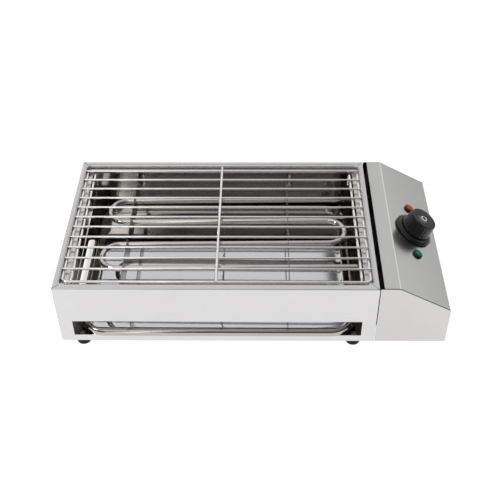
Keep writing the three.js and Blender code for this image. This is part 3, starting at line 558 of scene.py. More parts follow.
def lofted(name, loops, is_ring):
    """A skin through loops of points; the last loop meets the first, or both ends are closed."""
    bm = bmesh.new()
    rings = [[bm.verts.new(point) for point in loop] for loop in loops]
    count = len(rings[0])
    for ring, after in zip(rings, rings[1:] + rings[:1] if is_ring else rings[1:]):
        for step in range(count):
            beside = (step + 1) % count
            bm.faces.new((ring[step], ring[beside], after[beside], after[step]))
    if not is_ring:
        bm.faces.new(rings[0])
        bm.faces.new(rings[-1])
    outward(bm)
    return object_from(bm, name)


def loop_points(left, right, front, back, radius, height, steps=10):
    """Points round a rounded rectangle at one height."""
    points = []
    for x, y, quarter in ((right - radius, front + radius, -1), (right - radius, back - radius, 0),
                          (left + radius, back - radius, 1), (left + radius, front + radius, 2)):
        for step in range(steps + 1):
            angle = math.pi / 2 * (quarter + step / steps)
            points.append(Vector((x + radius * math.cos(angle), y + radius * math.sin(angle), height)))
    return points


def offset_by(corner, steps):
    """Outline points at given distances from a corner."""
    return [(corner[0] + across, corner[1] + up) for across, up in steps]


def quarter_turn(angles):
    """The cosine and sine of each angle, in degrees."""
    return [(math.cos(math.radians(angle)), math.sin(math.radians(angle))) for angle in angles]


def arc(centre, radius, start, end, steps):
    """Points of an arc, with its angles in degrees."""
    turn = [math.radians(start + (end - start) * step / steps) for step in range(steps + 1)]
    return [(centre[0] + radius * math.cos(angle), centre[1] + radius * math.sin(angle)) for angle in turn]


def rounded_run(corners, radius, steps=12):
    """Points along straight runs whose corners are rounded."""
    points = [corners[0]]
    for before, here, after in zip(corners, corners[1:], corners[2:]):
        arriving = (here - before).normalized()
        leaving = (after - here).normalized()
        turn = arriving.angle(leaving)
        sideways = (leaving - arriving * math.cos(turn)).normalized()
        start = here - arriving * radius * math.tan(turn / 2)
        for step in range(steps + 1):
            angle = turn * step / steps
            point = start + arriving * radius * math.sin(angle) + sideways * radius * (1 - math.cos(angle))
            if (point - points[-1]).length > LEAST_STEP * MM:
                points.append(point)
    points.append(corners[-1])
    return points


def tube(name, points, radius, closed=False, resolution=6):
    """A round rod along points, with closed ends."""
    curve = bpy.data.curves.new(name, "CURVE")
    curve.dimensions = "3D"
    curve.bevel_depth = radius
    curve.bevel_resolution = resolution
    curve.use_fill_caps = True
    spline = curve.splines.new("POLY")
    spline.points.add(len(points) - 1)
    for place, point in zip(spline.points, points):
        place.co = (*point, 1.0)
    spline.use_cyclic_u = closed
    return frozen(linked(name, curve), name)


def joined(pieces, name):
    """Several plain mesh objects as one."""
    bm = bmesh.new()
    for piece in pieces:
        bm.from_mesh(piece.data)
        bpy.data.objects.remove(piece)
    return object_from(bm, name)


# Geometry Nodes

WIRE_SIDES = 20


def add_modifier(tree, name, values):
    """An empty object whose mesh a tree makes, with the tree's named inputs set."""
    source = linked(name, bpy.data.meshes.new(name))
    modifier = source.modifiers.new(name, "NODES")
    modifier.node_group = tree
    for item in tree.interface.items_tree:
        if item.item_type == "SOCKET" and item.in_out == "INPUT" and item.name in values:
            modifier[item.identifier] = values[item.name]
    return source


def copied(tree, points, shape):
    """A real copy of a shape on each point."""
    spread = placed(tree, "GeometryNodeInstanceOnPoints", {"Points": points, "Instance": shape})
    return placed(tree, "GeometryNodeRealizeInstances", {"Geometry": spread["Instances"]})["Geometry"]


def dressed_copies(tree, points, shape, material, outlet):
    """Ends a tree in real copies of a shape, with their material."""
    copies = placed(tree, "GeometryNodeSetMaterial", {
        "Geometry": copied(tree, points, shape), "Material": material})
    fed(tree, outlet, {"Geometry": copies["Geometry"]})
    return tree


def wires_tree():
    """A row of equal straight round wires with flat ends, one pitch apart along Y."""
    tree, given, outlet = new_group(
        "Row of Wires", "GeometryNodeTree",
        {"First End": "Vector", "Last End": "Vector", "Radius": "Float", "Pitch": "Float", "Count": "Int",
         "Finish": "Material"}, {"Geometry": "Geometry"})
    line = placed(tree, "GeometryNodeCurvePrimitiveLine", {
        "Start": given["First End"], "End": given["Last End"]})
    section = placed(tree, "GeometryNodeCurvePrimitiveCircle", {
        "Resolution": WIRE_SIDES, "Radius": given["Radius"]})
    wire = placed(tree, "GeometryNodeCurveToMesh", {
        "Curve": line["Curve"], "Profile Curve": section["Curve"], "Fill Caps": True})
    step = placed(tree, "ShaderNodeCombineXYZ", {"Y": given["Pitch"]})
    row = placed(tree, "GeometryNodeMeshLine", {"Count": given["Count"], "Offset": step[0]})
    return dressed_copies(tree, row["Mesh"], wire["Mesh"], given["Finish"], outlet)


def studs_tree():
    """Copies of one fastener's head, one on each corner of a rectangle."""
    tree, given, outlet = new_group(
        "Set of Studs", "GeometryNodeTree",
        {"Corner": "Vector", "First Step": "Vector", "Second Step": "Vector", "Stud": "Object",
         "Finish": "Material"}, {"Geometry": "Geometry"})
    first = placed(tree, "GeometryNodeMeshLine", {
        "Count": 2, "Start Location": given["Corner"], "Offset": given["First Step"]})
    second = placed(tree, "GeometryNodeMeshLine", {"Count": 2, "Offset": given["Second Step"]})
    stud = placed(tree, "GeometryNodeObjectInfo", {"Object": given["Stud"]})
    corners = copied(tree, first["Mesh"], second["Mesh"])
    return dressed_copies(tree, corners, stud["Geometry"], given["Finish"], outlet)


# Body: the sheet panels, and the pressed rest inside their rim, in millimetres.

TOP_BAND = 0.1
# How far a normal leans sideways, for picking the faces with painted shade inside the body and in the gap.
SIDEWAYS = 0.5
SEAM = 0.35
OUTER_FACE = {
    "front_panel": (1, BODY_CORNER),
    "back_panel": (1, BODY_BACK_CORNER),
    "left_panel": (0, BODY_CORNER),
    "right_panel": (0, BODY_BACK_CORNER),
}
REST_SHEET = 0.6
REST_ROLL_SIDE = 1.2
REST_LIP_END = 1.6
REST_ROLL_END = 1.7
REST_ROLL_STEPS = 8
REST_FILLET = 1.5
REST_FILLET_STEPS = 4
REST_EDGE = 17.5
REST_CORNER = 7.7
REST_MOUTH_CORNER = 4.0
# Faces of the rolled edge above this height, facing up more than this, take the fold's painted highlight.
REST_ROLL_HEIGHT = 3.0
REST_ROLL_NORMAL = 0.45


def widened_seams(piece, above, axis):
    """Draws the ends of a panel's top flange in a little, so that its mitred seams show."""
    middle = BODY_MIDDLE[axis]
    for vert in piece.data.vertices:
        if vert.co.z > above:
            vert.co[axis] += math.copysign(SEAM * MM, middle - vert.co[axis])


class GRILL_OT_body(bpy.types.Operator):
    """Folds the body's four panels and the pressed rest for the grate"""

    bl_idname = "grill.body"
    bl_label = "Body"

    def execute(self, context):
        top = BODY_BACK_CORNER.z - TOP_BAND * MM
        under_flange = top - SHEET * MM
        for node, (axis, corner) in OUTER_FACE.items():
            piece = softened(node, f"{node}_sheet", lambda edge: all(
                abs(vert.co[axis] - corner[axis]) < ON_FACE * MM and vert.co.z > top for vert in edge.verts))
            settle(piece, "panel steel", [node])
            # The faces inside the body, below the flange, take a darker steel: painted shade.
            refinished(piece, "inner panel steel", lambda centre, normal: normal.dot(BODY_MIDDLE - centre) > 0
                       and centre.z < under_flange and abs(normal.z) < SIDEWAYS)
            # The right panel's outer face, in the gap, takes near-black steel: painted shade.
            if node == "right_panel":
                refinished(piece, "sooted steel", lambda centre, normal: normal.x > SIDEWAYS)
            widened_seams(piece, under_flange, 1 - axis)
        self.grate_rest()
        return {"FINISHED"}

    def grate_rest(self):
        """The pressing inside the rim: a rolled edge, a wall and the ledge that carries the grate."""
        low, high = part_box("grate_rest")
        top, floor = (high.z - BODY_CORNER.z) / MM, (low.z - BODY_CORNER.z) / MM + REST_SHEET
        back_roll_side, back_roll_end = REST_ROLL_SIDE - REST_SHEET, REST_ROLL_END - REST_SHEET
        face, back = [(0, 0, top)], [(0, 0, top - REST_SHEET)]
        for step in range(REST_ROLL_STEPS + 1):
            angle = math.pi / 2 * step / REST_ROLL_STEPS
            lean, fall = math.sin(angle), 1 - math.cos(angle)
            face.append((REST_ROLL_SIDE * lean, REST_LIP_END + REST_ROLL_END * lean,
                         top - REST_ROLL_END * fall))
            back.append((back_roll_side * lean, REST_LIP_END + back_roll_end * lean,
                         top - REST_SHEET - back_roll_end * fall))
        for step in range(REST_FILLET_STEPS + 1):
            angle = math.pi / 2 * step / REST_FILLET_STEPS
            reach, rise = REST_FILLET * (1 - math.cos(angle)), REST_FILLET * (1 - math.sin(angle))
            face.append((REST_ROLL_SIDE + reach, REST_LIP_END + REST_ROLL_END + reach, floor + rise))
        edge = REST_EDGE - (low.x - BODY_CORNER.x) / MM
        face += [(edge, edge, floor), (edge, edge, floor - REST_SHEET)]
        back.append((back_roll_side, REST_LIP_END + back_roll_end, floor - REST_SHEET))
        loops = [loop_points(low.x + side * MM, high.x - side * MM, low.y + end * MM, high.y - end * MM,
                             max(REST_CORNER - side, REST_MOUTH_CORNER) * MM, BODY_CORNER.z + height * MM)
                 for side, end, height in face + list(reversed(back))]
        rest = lofted("grate_rest_pressing", loops, is_ring=True)
        settle(rest, "grate rest steel", ["grate_rest"])
        # The rolled edge takes the brighter fold steel: a painted highlight.
        refinished(rest, "polished fold", lambda centre, normal: normal.z > REST_ROLL_NORMAL
                   and centre.z > low.z + REST_ROLL_HEIGHT * MM)
        sharpened(rest, PRESSED_SHARP_ANGLE)


# Control box: the sheet cover with its slope, and the plates at its ends, in millimetres.

PLATE_SEAM = 0.7
COVER_SEAM = 0.9
FOLD_LENGTH = 100.0
COVER_SIDE_HEIGHT = 10.0
# Normals of the faces along the fold's crest, which take its painted highlight.
FOLD_NORMALS = (0.89, 0.995)


class GRILL_OT_control_box(bpy.types.Operator):
    """Folds the control box beside the body"""

    bl_idname = "grill.control_box"
    bl_label = "Control Box"

    def execute(self, context):
        low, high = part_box("control_cover")
        fold_line = high.x - SLOPE_WIDTH * MM

        def is_outer_fold(edge):
            middle = (edge.verts[0].co + edge.verts[1].co) / 2
            along = abs(edge.verts[0].co.y - edge.verts[1].co.y) > FOLD_LENGTH * MM
            at_crest = abs(middle.x - fold_line) < ON_FACE * MM and middle.z > high.z - ON_FACE * MM
            at_side = middle.x > high.x - ON_FACE * MM and middle.z > low.z + COVER_SIDE_HEIGHT * MM
            return along and (at_crest or at_side)

        cover = softened("control_cover", "control_cover_sheet", is_outer_fold)
        settle(cover, "control box steel", ["control_cover"])
        # The fold's crest takes a brighter steel: a painted highlight along it.
        refinished(cover, "polished fold", lambda centre, normal: FOLD_NORMALS[0] < normal.z < FOLD_NORMALS[1]
                   and centre.x < fold_line + MM)
        for vert in cover.data.vertices:
            if vert.co.y < low.y + SHEET * MM:
                vert.co.y += COVER_SEAM * MM
        for node in ("control_front_plate", "control_back_plate"):
            plate = softened(node, f"{node}_sheet")
            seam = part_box(node)[0].x + PLATE_SEAM * MM
            for vert in plate.data.vertices:
                vert.co.x = max(vert.co.x, seam)
            settle(plate, "control box steel", [node])
        return {"FINISHED"}


# Heater: four runs of one tube, in millimetres.

HEATER_PITCH = 49.5
HEATER_LEFT = 51.5
HEATER_RIGHT = 36.5
HEATER_HEIGHT = 79.5
HEATER_SAG = 4.5
HEATER_SEAT = 439.5


def heater_height(x):
    """The tube is held at its right end and hangs a little lower towards the left."""
    return HEATER_HEIGHT - HEATER_SAG * (HEATER_SEAT - x) / (HEATER_SEAT - HEATER_LEFT)


class GRILL_OT_heater(bpy.types.Operator):
    """Bends the heater's tube and hangs it in its brackets"""

    bl_idname = "grill.heater"
    bl_label = "Heater"

    def execute(self, context):
        rows = [BODY_DEPTH / 2 + share * HEATER_PITCH for share in (-1.5, -0.5, 0.5, 1.5)]
        end = (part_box("heating_element")[1].x - BODY_CORNER.x) / MM
        left, right = HEATER_LEFT, BODY_WIDTH - HEATER_RIGHT
        turns = [(end, 0), (left, 0), (left, 1), (right, 1), (right, 2), (left, 2), (left, 3), (end, 3)]
        corners = [at(x, rows[row], heater_height(x)) for x, row in turns]
        run = rounded_run(corners, HEATER_PITCH / 2 * MM, steps=16)
        piece = tube("heater_tube", run, sizes().heater_diameter / 2, resolution=8)
        settle(piece, "heater steel", ["heating_element"])
        sharpened(piece)
        # The brackets take the dark steel: painted shade inside the body.
        for side in ("left", "right"):
            node = f"heater_bracket_{side}"
            settle(softened(node, f"{node}_sheet"), "dark inner steel", [node])
        return {"FINISHED"}


# Drip tray: insets from its edge, and heights, in millimetres.

TRAY_RIM = 5.1
TRAY_CROWN = 5.3
TRAY_CROWN_STEPS = 12
TRAY_SHEET = 0.7
TRAY_CORNER = 40.0
TRAY_FLOOR_CORNER = 14.0
TRAY_CREST_END = 6.9
TRAY_WALL_END = 12.0
TRAY_WALL_STEPS = 27
TRAY_FLOOR_INSET = 16.0
# Faces steeper than this, and the rim's top, take the rim steel with painted shade.
TRAY_FLOOR_NORMAL = 0.93


def tray_fall(inset, drop):
    """How far the tray's wall has fallen from its crest at an inset, for a whole drop to the floor."""
    bend, straight = TRAY_CREST_END - TRAY_RIM, TRAY_WALL_END - TRAY_CREST_END
    heel = TRAY_FLOOR_INSET - TRAY_WALL_END
    steepest = drop / (bend / 2 + straight + heel / 2)
    if inset <= TRAY_CREST_END:
        return steepest * (inset - TRAY_RIM) ** 2 / (2 * bend)
    if inset <= TRAY_WALL_END:
        return steepest * (bend / 2 + inset - TRAY_CREST_END)
    return drop - steepest * (TRAY_FLOOR_INSET - inset) ** 2 / (2 * heel)


class GRILL_OT_drip_tray(bpy.types.Operator):
    """Presses the mirror-steel drip tray with its rolled rim"""

    bl_idname = "grill.drip_tray"
    bl_label = "Drip Tray"

    def execute(self, context):
        low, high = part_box("drip_tray")
        bottom, top = low.z / MM, high.z / MM
        shoulder = top - TRAY_CROWN
        inside, under = [], []
        for step in range(TRAY_CROWN_STEPS + 1):
            angle = math.pi / 2 * step / TRAY_CROWN_STEPS
            share, rise = 1 - math.cos(angle), math.sin(angle)
            inside.append((TRAY_RIM * share, shoulder + TRAY_CROWN * rise))
            under.append((TRAY_SHEET + (TRAY_RIM - TRAY_SHEET) * share,
                          shoulder + (TRAY_CROWN - TRAY_SHEET) * rise))
        for step in range(1, TRAY_WALL_STEPS + 1):
            inset = TRAY_RIM + (TRAY_FLOOR_INSET - TRAY_RIM) * step / TRAY_WALL_STEPS
            height = top - tray_fall(inset, top - bottom - TRAY_SHEET)
            inside.append((inset, height))
            under.append((inset, height - TRAY_SHEET))
        loops = []
        for inset, height in list(reversed(under)) + [(TRAY_SHEET, bottom), (0, bottom)] + inside:
            radius = TRAY_CORNER - inset * (TRAY_CORNER - TRAY_FLOOR_CORNER) / TRAY_FLOOR_INSET
            loops.append(loop_points(low.x + inset * MM, high.x - inset * MM, low.y + inset * MM,
                                     high.y - inset * MM, radius * MM, height * MM, steps=20))
        piece = lofted("pressed_drip_tray", loops, is_ring=False)
        settle(piece, "mirror steel", ["drip_tray"])
        # The rim and wall take a darker steel: painted shade.
        refinished(piece, "tray rim steel", lambda centre, normal: abs(normal.z) < TRAY_FLOOR_NORMAL
                   or centre.z > high.z - MM)
        sharpened(piece, PRESSED_SHARP_ANGLE)
        return {"FINISHED"}


# Grate: wires and rods, in millimetres; where two cross, they sink into each other by the weld.

SINK = 0.6
GRATE_INSET = 9.9
GRATE_FRONT = 20.0
GRATE_BACK = 16.5
GRATE_CORNER = 7.0
CROSS_INSET = 22.0
CROSS_END = 24.0
CROSS_BEND = 4.0
MIDDLE_RAMP = 12.0


class GRILL_OT_grate(bpy.types.Operator):
    """Lays the grate's long wires over its frame, a middle rod over them and two bent rods under them"""

    bl_idname = "grill.grate"
    bl_label = "Grate"

    def execute(self, context):
        low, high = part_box("grate")
        rod = sizes().frame_diameter / 2
        wire = sizes().wire_diameter / 2
        rod_height = high.z - 3 * rod - 2 * wire + 2 * SINK * MM
        left, right = BODY_CORNER.x + GRATE_INSET * MM, BODY_BACK_CORNER.x - GRATE_INSET * MM
        front, back = at(0, GRATE_FRONT, 0).y, BODY_BACK_CORNER.y - GRATE_BACK * MM
        loop = loop_points(left, right, front, back, GRATE_CORNER * MM, rod_height)
        pieces = [tube("grate_frame", loop, rod, closed=True)]
        near, far = at(0, CROSS_END, 0).y, BODY_BACK_CORNER.y - CROSS_END * MM
        for x in (BODY_CORNER.x + CROSS_INSET * MM, BODY_BACK_CORNER.x - CROSS_INSET * MM):
            corners = [Vector((x, near, low.z)), Vector((x, near, rod_height)),
                       Vector((x, far, rod_height)), Vector((x, far, low.z))]
            pieces.append(tube("cross_rod", rounded_run(corners, CROSS_BEND * MM), rod))
        over = [Vector((BODY_MIDDLE.x, low.y, rod_height + 2 * rod - SINK * MM)),
                Vector((BODY_MIDDLE.x, front + MIDDLE_RAMP * MM, high.z - rod)),
                Vector((BODY_MIDDLE.x, high.y, high.z - rod))]
        pieces.append(tube("middle_rod", rounded_run(over, CROSS_BEND * MM), rod))
        wire_height = rod_height + rod + wire - SINK * MM
        first = BODY_CORNER.y + sizes().first_wire
        row = add_modifier(wires_tree(), "long_wires", {
            "First End": Vector((left - rod, first, wire_height)),
            "Last End": Vector((right + rod, first, wire_height)),
            "Radius": wire, "Pitch": sizes().wire_pitch, "Count": sizes().wire_count,
            "Finish": finish("grate chrome")})
        pieces.append(frozen(row, "long_wires"))
        piece = joined(pieces, "wire_grate")
        settle(piece, "grate chrome", ["grate"])
        sharpened(piece)
        return {"FINISHED"}


# Knob: radii, and heights above the slope, in millimetres.

KNOB_SKIRT = 29.5
KNOB_RIM = 3.4
KNOB_GRIP = 22.5
KNOB_TOP = 20.0
KNOB_GRIP_BASE = 8.0
KNOB_HEIGHT = 27.75
KNOB_CHAMFER = 1.6
KNOB_CLEARANCE = 0.8
KNOB_WALL = 3.0
KNOB_HUB = 6.5
KNOB_SOCKET = 3.3
KNOB_HUB_FOOT = 4.8
KNOB_SOCKET_TOP = 17.1
KNOB_SKIRT_ROUND = 0.8
KNOB_SHARP_ANGLE = 38.0
# Outlines as steps from a corner: the skirt's foot, its shoulder, the groove and collar under the grip.
KNOB_SKIRT_FOOT = ((-0.4, 0.0), (0.0, 0.4))
KNOB_SHOULDER = ((-1.4, 0.9),)
KNOB_COLLAR = ((1.4, -2.2), (0.5, -2.2), (-0.6, -2.8), (-0.6, -0.4), (-0.1, 0.0), (0.0, 0.6))
GRIP_START = 1.2
GRIP_STEPS = 14
RIB_FOOT = 0.6
RIB_HEAD = 0.4
RIB_REACH = 1.8
RIB_NARROWING = 3
STEPS_PER_RIB = 10

BADGE_RADIUS = 5.0
BADGE_DEPTH = 0.5
BADGE_SEAT = ((0.4, 0.0), (0.0, -0.2))
BADGE_LIFT = 0.02
BADGE_STEPS = 64
BADGE_RING = ((-0.3, -0.15), (-0.6, 0.0), (-1.5, 0.0), (-1.8, -0.3))


class GRILL_OT_knob(bpy.types.Operator):
    """Moulds the ribbed knob with its flared skirt and bare badge"""

    bl_idname = "grill.knob"
    bl_label = "Knob"

    def execute(self, context):
        depth = sizes().knob_rib_depth / MM
        ribs = sizes().knob_ribs

        def ribbed(radius, height, angle):
            on_grip = KNOB_GRIP_BASE + RIB_FOOT < height < KNOB_HEIGHT - RIB_HEAD
            if not on_grip or radius <= KNOB_TOP - RIB_REACH:
                return radius
            return radius - depth * (0.5 - 0.5 * math.cos(ribs * angle)) ** RIB_NARROWING

        ceiling = KNOB_HEIGHT - KNOB_WALL
        grip_height = KNOB_HEIGHT - KNOB_CHAMFER - KNOB_GRIP_BASE
        slope = (KNOB_GRIP - KNOB_TOP) / grip_height
        profile = [(0, KNOB_SOCKET_TOP), (KNOB_SOCKET, KNOB_SOCKET_TOP), (KNOB_SOCKET, KNOB_HUB_FOOT),
                   (KNOB_HUB, KNOB_HUB_FOOT), (KNOB_HUB, ceiling), (KNOB_TOP - KNOB_WALL, ceiling),
                   (KNOB_GRIP - KNOB_WALL, KNOB_GRIP_BASE - KNOB_WALL),
                   (KNOB_SKIRT - KNOB_WALL, KNOB_RIM - KNOB_SKIRT_ROUND),
                   (KNOB_SKIRT - KNOB_WALL, KNOB_CLEARANCE)]
        profile += offset_by((KNOB_SKIRT, KNOB_CLEARANCE), KNOB_SKIRT_FOOT)
        profile += arc((KNOB_SKIRT - KNOB_SKIRT_ROUND, KNOB_RIM - KNOB_SKIRT_ROUND), KNOB_SKIRT_ROUND,
                       start=0, end=50, steps=4)
        profile += offset_by((KNOB_SKIRT, KNOB_RIM), KNOB_SHOULDER)
        profile += offset_by((KNOB_GRIP, KNOB_GRIP_BASE), KNOB_COLLAR)
        for step in range(GRIP_STEPS + 1):
            height = KNOB_GRIP_BASE + GRIP_START + (grip_height - GRIP_START) * step / GRIP_STEPS
            profile.append((KNOB_GRIP - slope * (height - KNOB_GRIP_BASE), height))
        profile += arc((KNOB_TOP - KNOB_CHAMFER, KNOB_HEIGHT - KNOB_CHAMFER), KNOB_CHAMFER,
                       start=15, end=90, steps=5)
        profile += offset_by((BADGE_RADIUS, KNOB_HEIGHT), BADGE_SEAT)
        profile += [(BADGE_RADIUS, KNOB_HEIGHT - BADGE_DEPTH), (0, KNOB_HEIGHT - BADGE_DEPTH)]
        piece = lathe("ribbed_knob", profile, ribs * STEPS_PER_RIB, SLOPE_FRAME, ribbed)
        settle(piece, "knob plastic", ["knob"])
        sharpened(piece, KNOB_SHARP_ANGLE)
        self.badge()
        return {"FINISHED"}

    def badge(self):
        """A bright ring round a dark middle, with nothing on it."""
        foot = KNOB_HEIGHT - BADGE_DEPTH + BADGE_LIFT
        ring = offset_by((BADGE_RADIUS, KNOB_HEIGHT), BADGE_RING)
        middle, hollow = ring[-1]
        disc = lathe("bare_badge", [(0, foot), (ring[0][0], foot), *ring, (0, hollow)], BADGE_STEPS,
                     SLOPE_FRAME)
        disc.data.materials.append(finish("rivet steel"))
        refinished(disc, "knob plastic", lambda centre, normal: (
            SLOPE_FRAME.inverted() @ centre).xy.length < middle * MM)
        for face in disc.data.polygons:
            face.use_smooth = True
        sharpened(disc)
        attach(disc, "dial")


# Lamps: radii, and heights above the slope, in millimetres.

LAMP_SPREAD = 50.0
LENS_STEM = 4.0
LENS_STEM_FOOT = -6.1
LENS_RADIUS = 7.2
LENS_TOP = 4.2
LENS_EDGE = 1.6
LENS_SIDE_POWER = 0.5
LENS_CROWN_POWER = 0.8
LENS_ANGLES = range(10, 90, 8)
LENS_STEPS = 48


class GRILL_OT_lamps(bpy.types.Operator):
    """Moulds the two indicator lenses"""

    bl_idname = "grill.lamps"
    bl_label = "Lamps"

    def execute(self, context):
        for colour, side in (("orange", 1), ("green", -1)):
            profile = [(0, LENS_STEM_FOOT), (LENS_STEM, LENS_STEM_FOOT), (LENS_STEM, FIT_GAP),
                       (LENS_RADIUS, FIT_GAP), (LENS_RADIUS, LENS_EDGE)]
            profile += [(LENS_RADIUS * across ** LENS_SIDE_POWER,
                         LENS_EDGE + (LENS_TOP - LENS_EDGE) * up ** LENS_CROWN_POWER)
                        for across, up in quarter_turn(LENS_ANGLES)]
            profile.append((0, LENS_TOP))
            place = SLOPE_FRAME @ Matrix.Translation(Vector((0, side * LAMP_SPREAD * MM, 0)))
            piece = lathe(f"{colour}_lens", profile, LENS_STEPS, place)
            settle(piece, f"{colour} lens", [f"lamp_lens_{colour}"])
            # Each point's painted light: the lens lighter in its middle and darker towards its edge.
            tones = piece.data.attributes.new(LENS_PAINTED_LIGHT, "FLOAT", "POINT")
            back = place.inverted()
            for vert, tone in zip(piece.data.vertices, tones.data):
                share = min((back @ vert.co).xy.length / (LENS_RADIUS * MM), 1.0)
                tone.value = LENS_MIDDLE_TONE + (LENS_EDGE_TONE - LENS_MIDDLE_TONE) * share ** 2
            sharpened(piece)
        return {"FINISHED"}


# Feet: radii and heights in millimetres, angles in degrees.

FOOT_TOE_SHARE = 19.2 / 22
FOOT_SOLE_EDGE = ((-0.6, 0.0), (-0.15, 0.15))
FOOT_ANGLES = range(4, 90, 7)
FOOT_STEPS = 40
FOOT_BORE = 2.3
FOOT_BORE_DEPTH = 6.3


class GRILL_OT_feet(bpy.types.Operator):
    """Moulds the four rubber feet"""

    bl_idname = "grill.feet"
    bl_label = "Feet"

    def execute(self, context):
        for row in ("front", "back"):
            for side in ("left", "right"):
                node = f"foot_{row}_{side}"
                low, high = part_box(node)
                top = (high.x - low.x) / 2 / MM
                tall = (high.z - low.z) / MM
                toe = top * FOOT_TOE_SHARE
                profile = [(0, 0), *offset_by((toe, 0), FOOT_SOLE_EDGE)]
                profile += [(toe + (top - toe) * up, tall * (1 - (1 - angle / 180) * across))
                            for angle, (across, up) in zip(FOOT_ANGLES, quarter_turn(FOOT_ANGLES))]
                profile += [(top, tall), (FOOT_BORE, tall), (FOOT_BORE, tall - FOOT_BORE_DEPTH),
                            (0, tall - FOOT_BORE_DEPTH)]
                middle = Vector(((low.x + high.x) / 2, (low.y + high.y) / 2, low.z))
                piece = lathe(f"{node}_moulding", profile, FOOT_STEPS, Matrix.Translation(middle))
                settle(piece, "rubber", [node])
                sharpened(piece)
        return {"FINISHED"}


# Rivets: radii and heights in millimetres, angles in degrees.

RIVET_HEAD = 4.0
RIVET_EDGE = 0.2
RIVET_SHANK = 2.0
RIVET_DOME = 2.4
RIVET_ANGLES = range(8, 90, 8)
RIVET_STEPS = 32


class GRILL_OT_rivets(bpy.types.Operator):
    """Sets the domed rivets that hold the heater brackets"""

    bl_idname = "grill.rivets"
    bl_label = "Rivets"

    def execute(self, context):
        names = ["left_lower", "left_upper", "right_lower", "right_upper"]
        nodes = [f"bracket_rivet_{name}" for name in names]
        low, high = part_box(nodes[0])
        tall = (high.y - low.y) / MM
        seat = tall - RIVET_DOME
        profile = [(0, 0), (RIVET_SHANK, 0), (RIVET_SHANK, seat), (RIVET_HEAD - RIVET_EDGE, seat),
                   (RIVET_HEAD, seat + RIVET_EDGE)]
        profile += [(RIVET_HEAD * across, seat + RIVET_DOME * up)
                    for across, up in quarter_turn(RIVET_ANGLES)]
        profile.append((0, tall))
        stud = lathe("rivet", profile, RIVET_STEPS, Matrix.Rotation(math.radians(90), 4, "X"))
        source = add_modifier(studs_tree(), "bracket_rivets", {
            "Corner": Vector(((low.x + high.x) / 2, high.y, (low.z + high.z) / 2)),
            "First Step": Vector((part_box(nodes[2])[0].x - low.x, 0, 0)),
            "Second Step": Vector((0, 0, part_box(nodes[1])[0].z - low.z)),
            "Stud": stud, "Finish": finish("rivet steel")})
        piece = frozen(source, "bracket_rivets")
        bpy.data.objects.remove(stud)
        settle(piece, "rivet steel", nodes)
        sharpened(piece)
        return {"FINISHED"}


# Nodes whose finish isn't their slot's: dark steel as painted shade inside the body, and near-black steel as
# painted shade in the gap beside the control box.
NODE_FINISH = {
    **dict.fromkeys(("bottom_plate", "tray_rail_left", "tray_rail_right"), "dark inner steel"),
    **dict.fromkeys(("control_inner_wall", "heater_bushing_front", "heater_bushing_back", "box_spacer_front",
                     "box_spacer_back"), "sooted steel"),
}


class GRILL_OT_inner_parts(bpy.types.Operator):
    """Gives the remaining nodes their finishes"""

    bl_idname = "grill.inner_parts"
    bl_label = "Inner Parts"

    def execute(self, context):
        for name, node in frame["nodes"].items():
            if not node.hide_render:
                node.data.materials.clear()
                node.data.materials.append(finish(NODE_FINISH.get(name, SLOT_FINISH[SLOT_OF[name]])))
        return {"FINISHED"}


# Stage

# Camera, as fitted to the photograph's corners: millimetres from the body's corner, and degrees.
CAMERA_PLACE = (277.7, -800.0, 899.6)
CAMERA_TURN = (47.65, 0.45, 0.65)
CAMERA_LENS = 62.0
CAMERA_SENSOR = 36.0

FLOOR_TONE = (0.30, 0.30, 0.30, 1.0)
FLOOR_ROUGHNESS = 0.9
FLOOR_GLOW = 0.93
FLOOR_REACH = 4.0
# The table under the body, seen through the vent: centre and half size in metres, and how bright it stays.
UNDER_BODY = ((-0.049, 0.0, 0.0), (0.214, 0.125, 1.0))
UNDER_BODY_TONE = 0.68
UNDER_BODY_BLUR = 0.006

# Light by its direction: a dim room in front with two bright strips, and a bright wall behind by height.
STUDIO_FRONT = (0.13, 0.125, 0.12, 1.0)
STUDIO_BACK = ((0.0, 0.40), (0.18, 0.42), (0.28, 1.16), (0.42, 0.82), (1.0, 0.76))
FRONT_TO_BACK = (-0.1, 0.42)
FRONT_LIGHTS = ((0.155, 0.163, 0.188, 0.196), (0.205, 0.210, 0.220, 0.225))
FRONT_LIGHT = (2.8, 2.75, 2.65, 1.0)
# The gap between the panels, by bearing.
PANEL_GAP = 0.098
PANEL_GAP_HALF = 0.010
PANEL_GAP_BLUR = 0.006
PANEL_GAP_TONE = 0.12
# The ceiling fades from left to right, as (place, level).
CEILING = (1.0, 0.99, 0.97)
CEILING_AXIS = (0.0, -0.28, 0.96)
CEILING_LIMITS = (0.86, 0.93)
CEILING_LEFT = (-0.18, 1.15)
CEILING_RIGHT = (0.09, 0.40)

LAMP_BEARING = (-0.62, -0.38, 0.68)
LAMP_DISTANCE = 1.5
LAMP_SIZE = 0.3
LAMP_POWER = 4.0

WHITE = (1.0, 1.0, 1.0, 1.0)


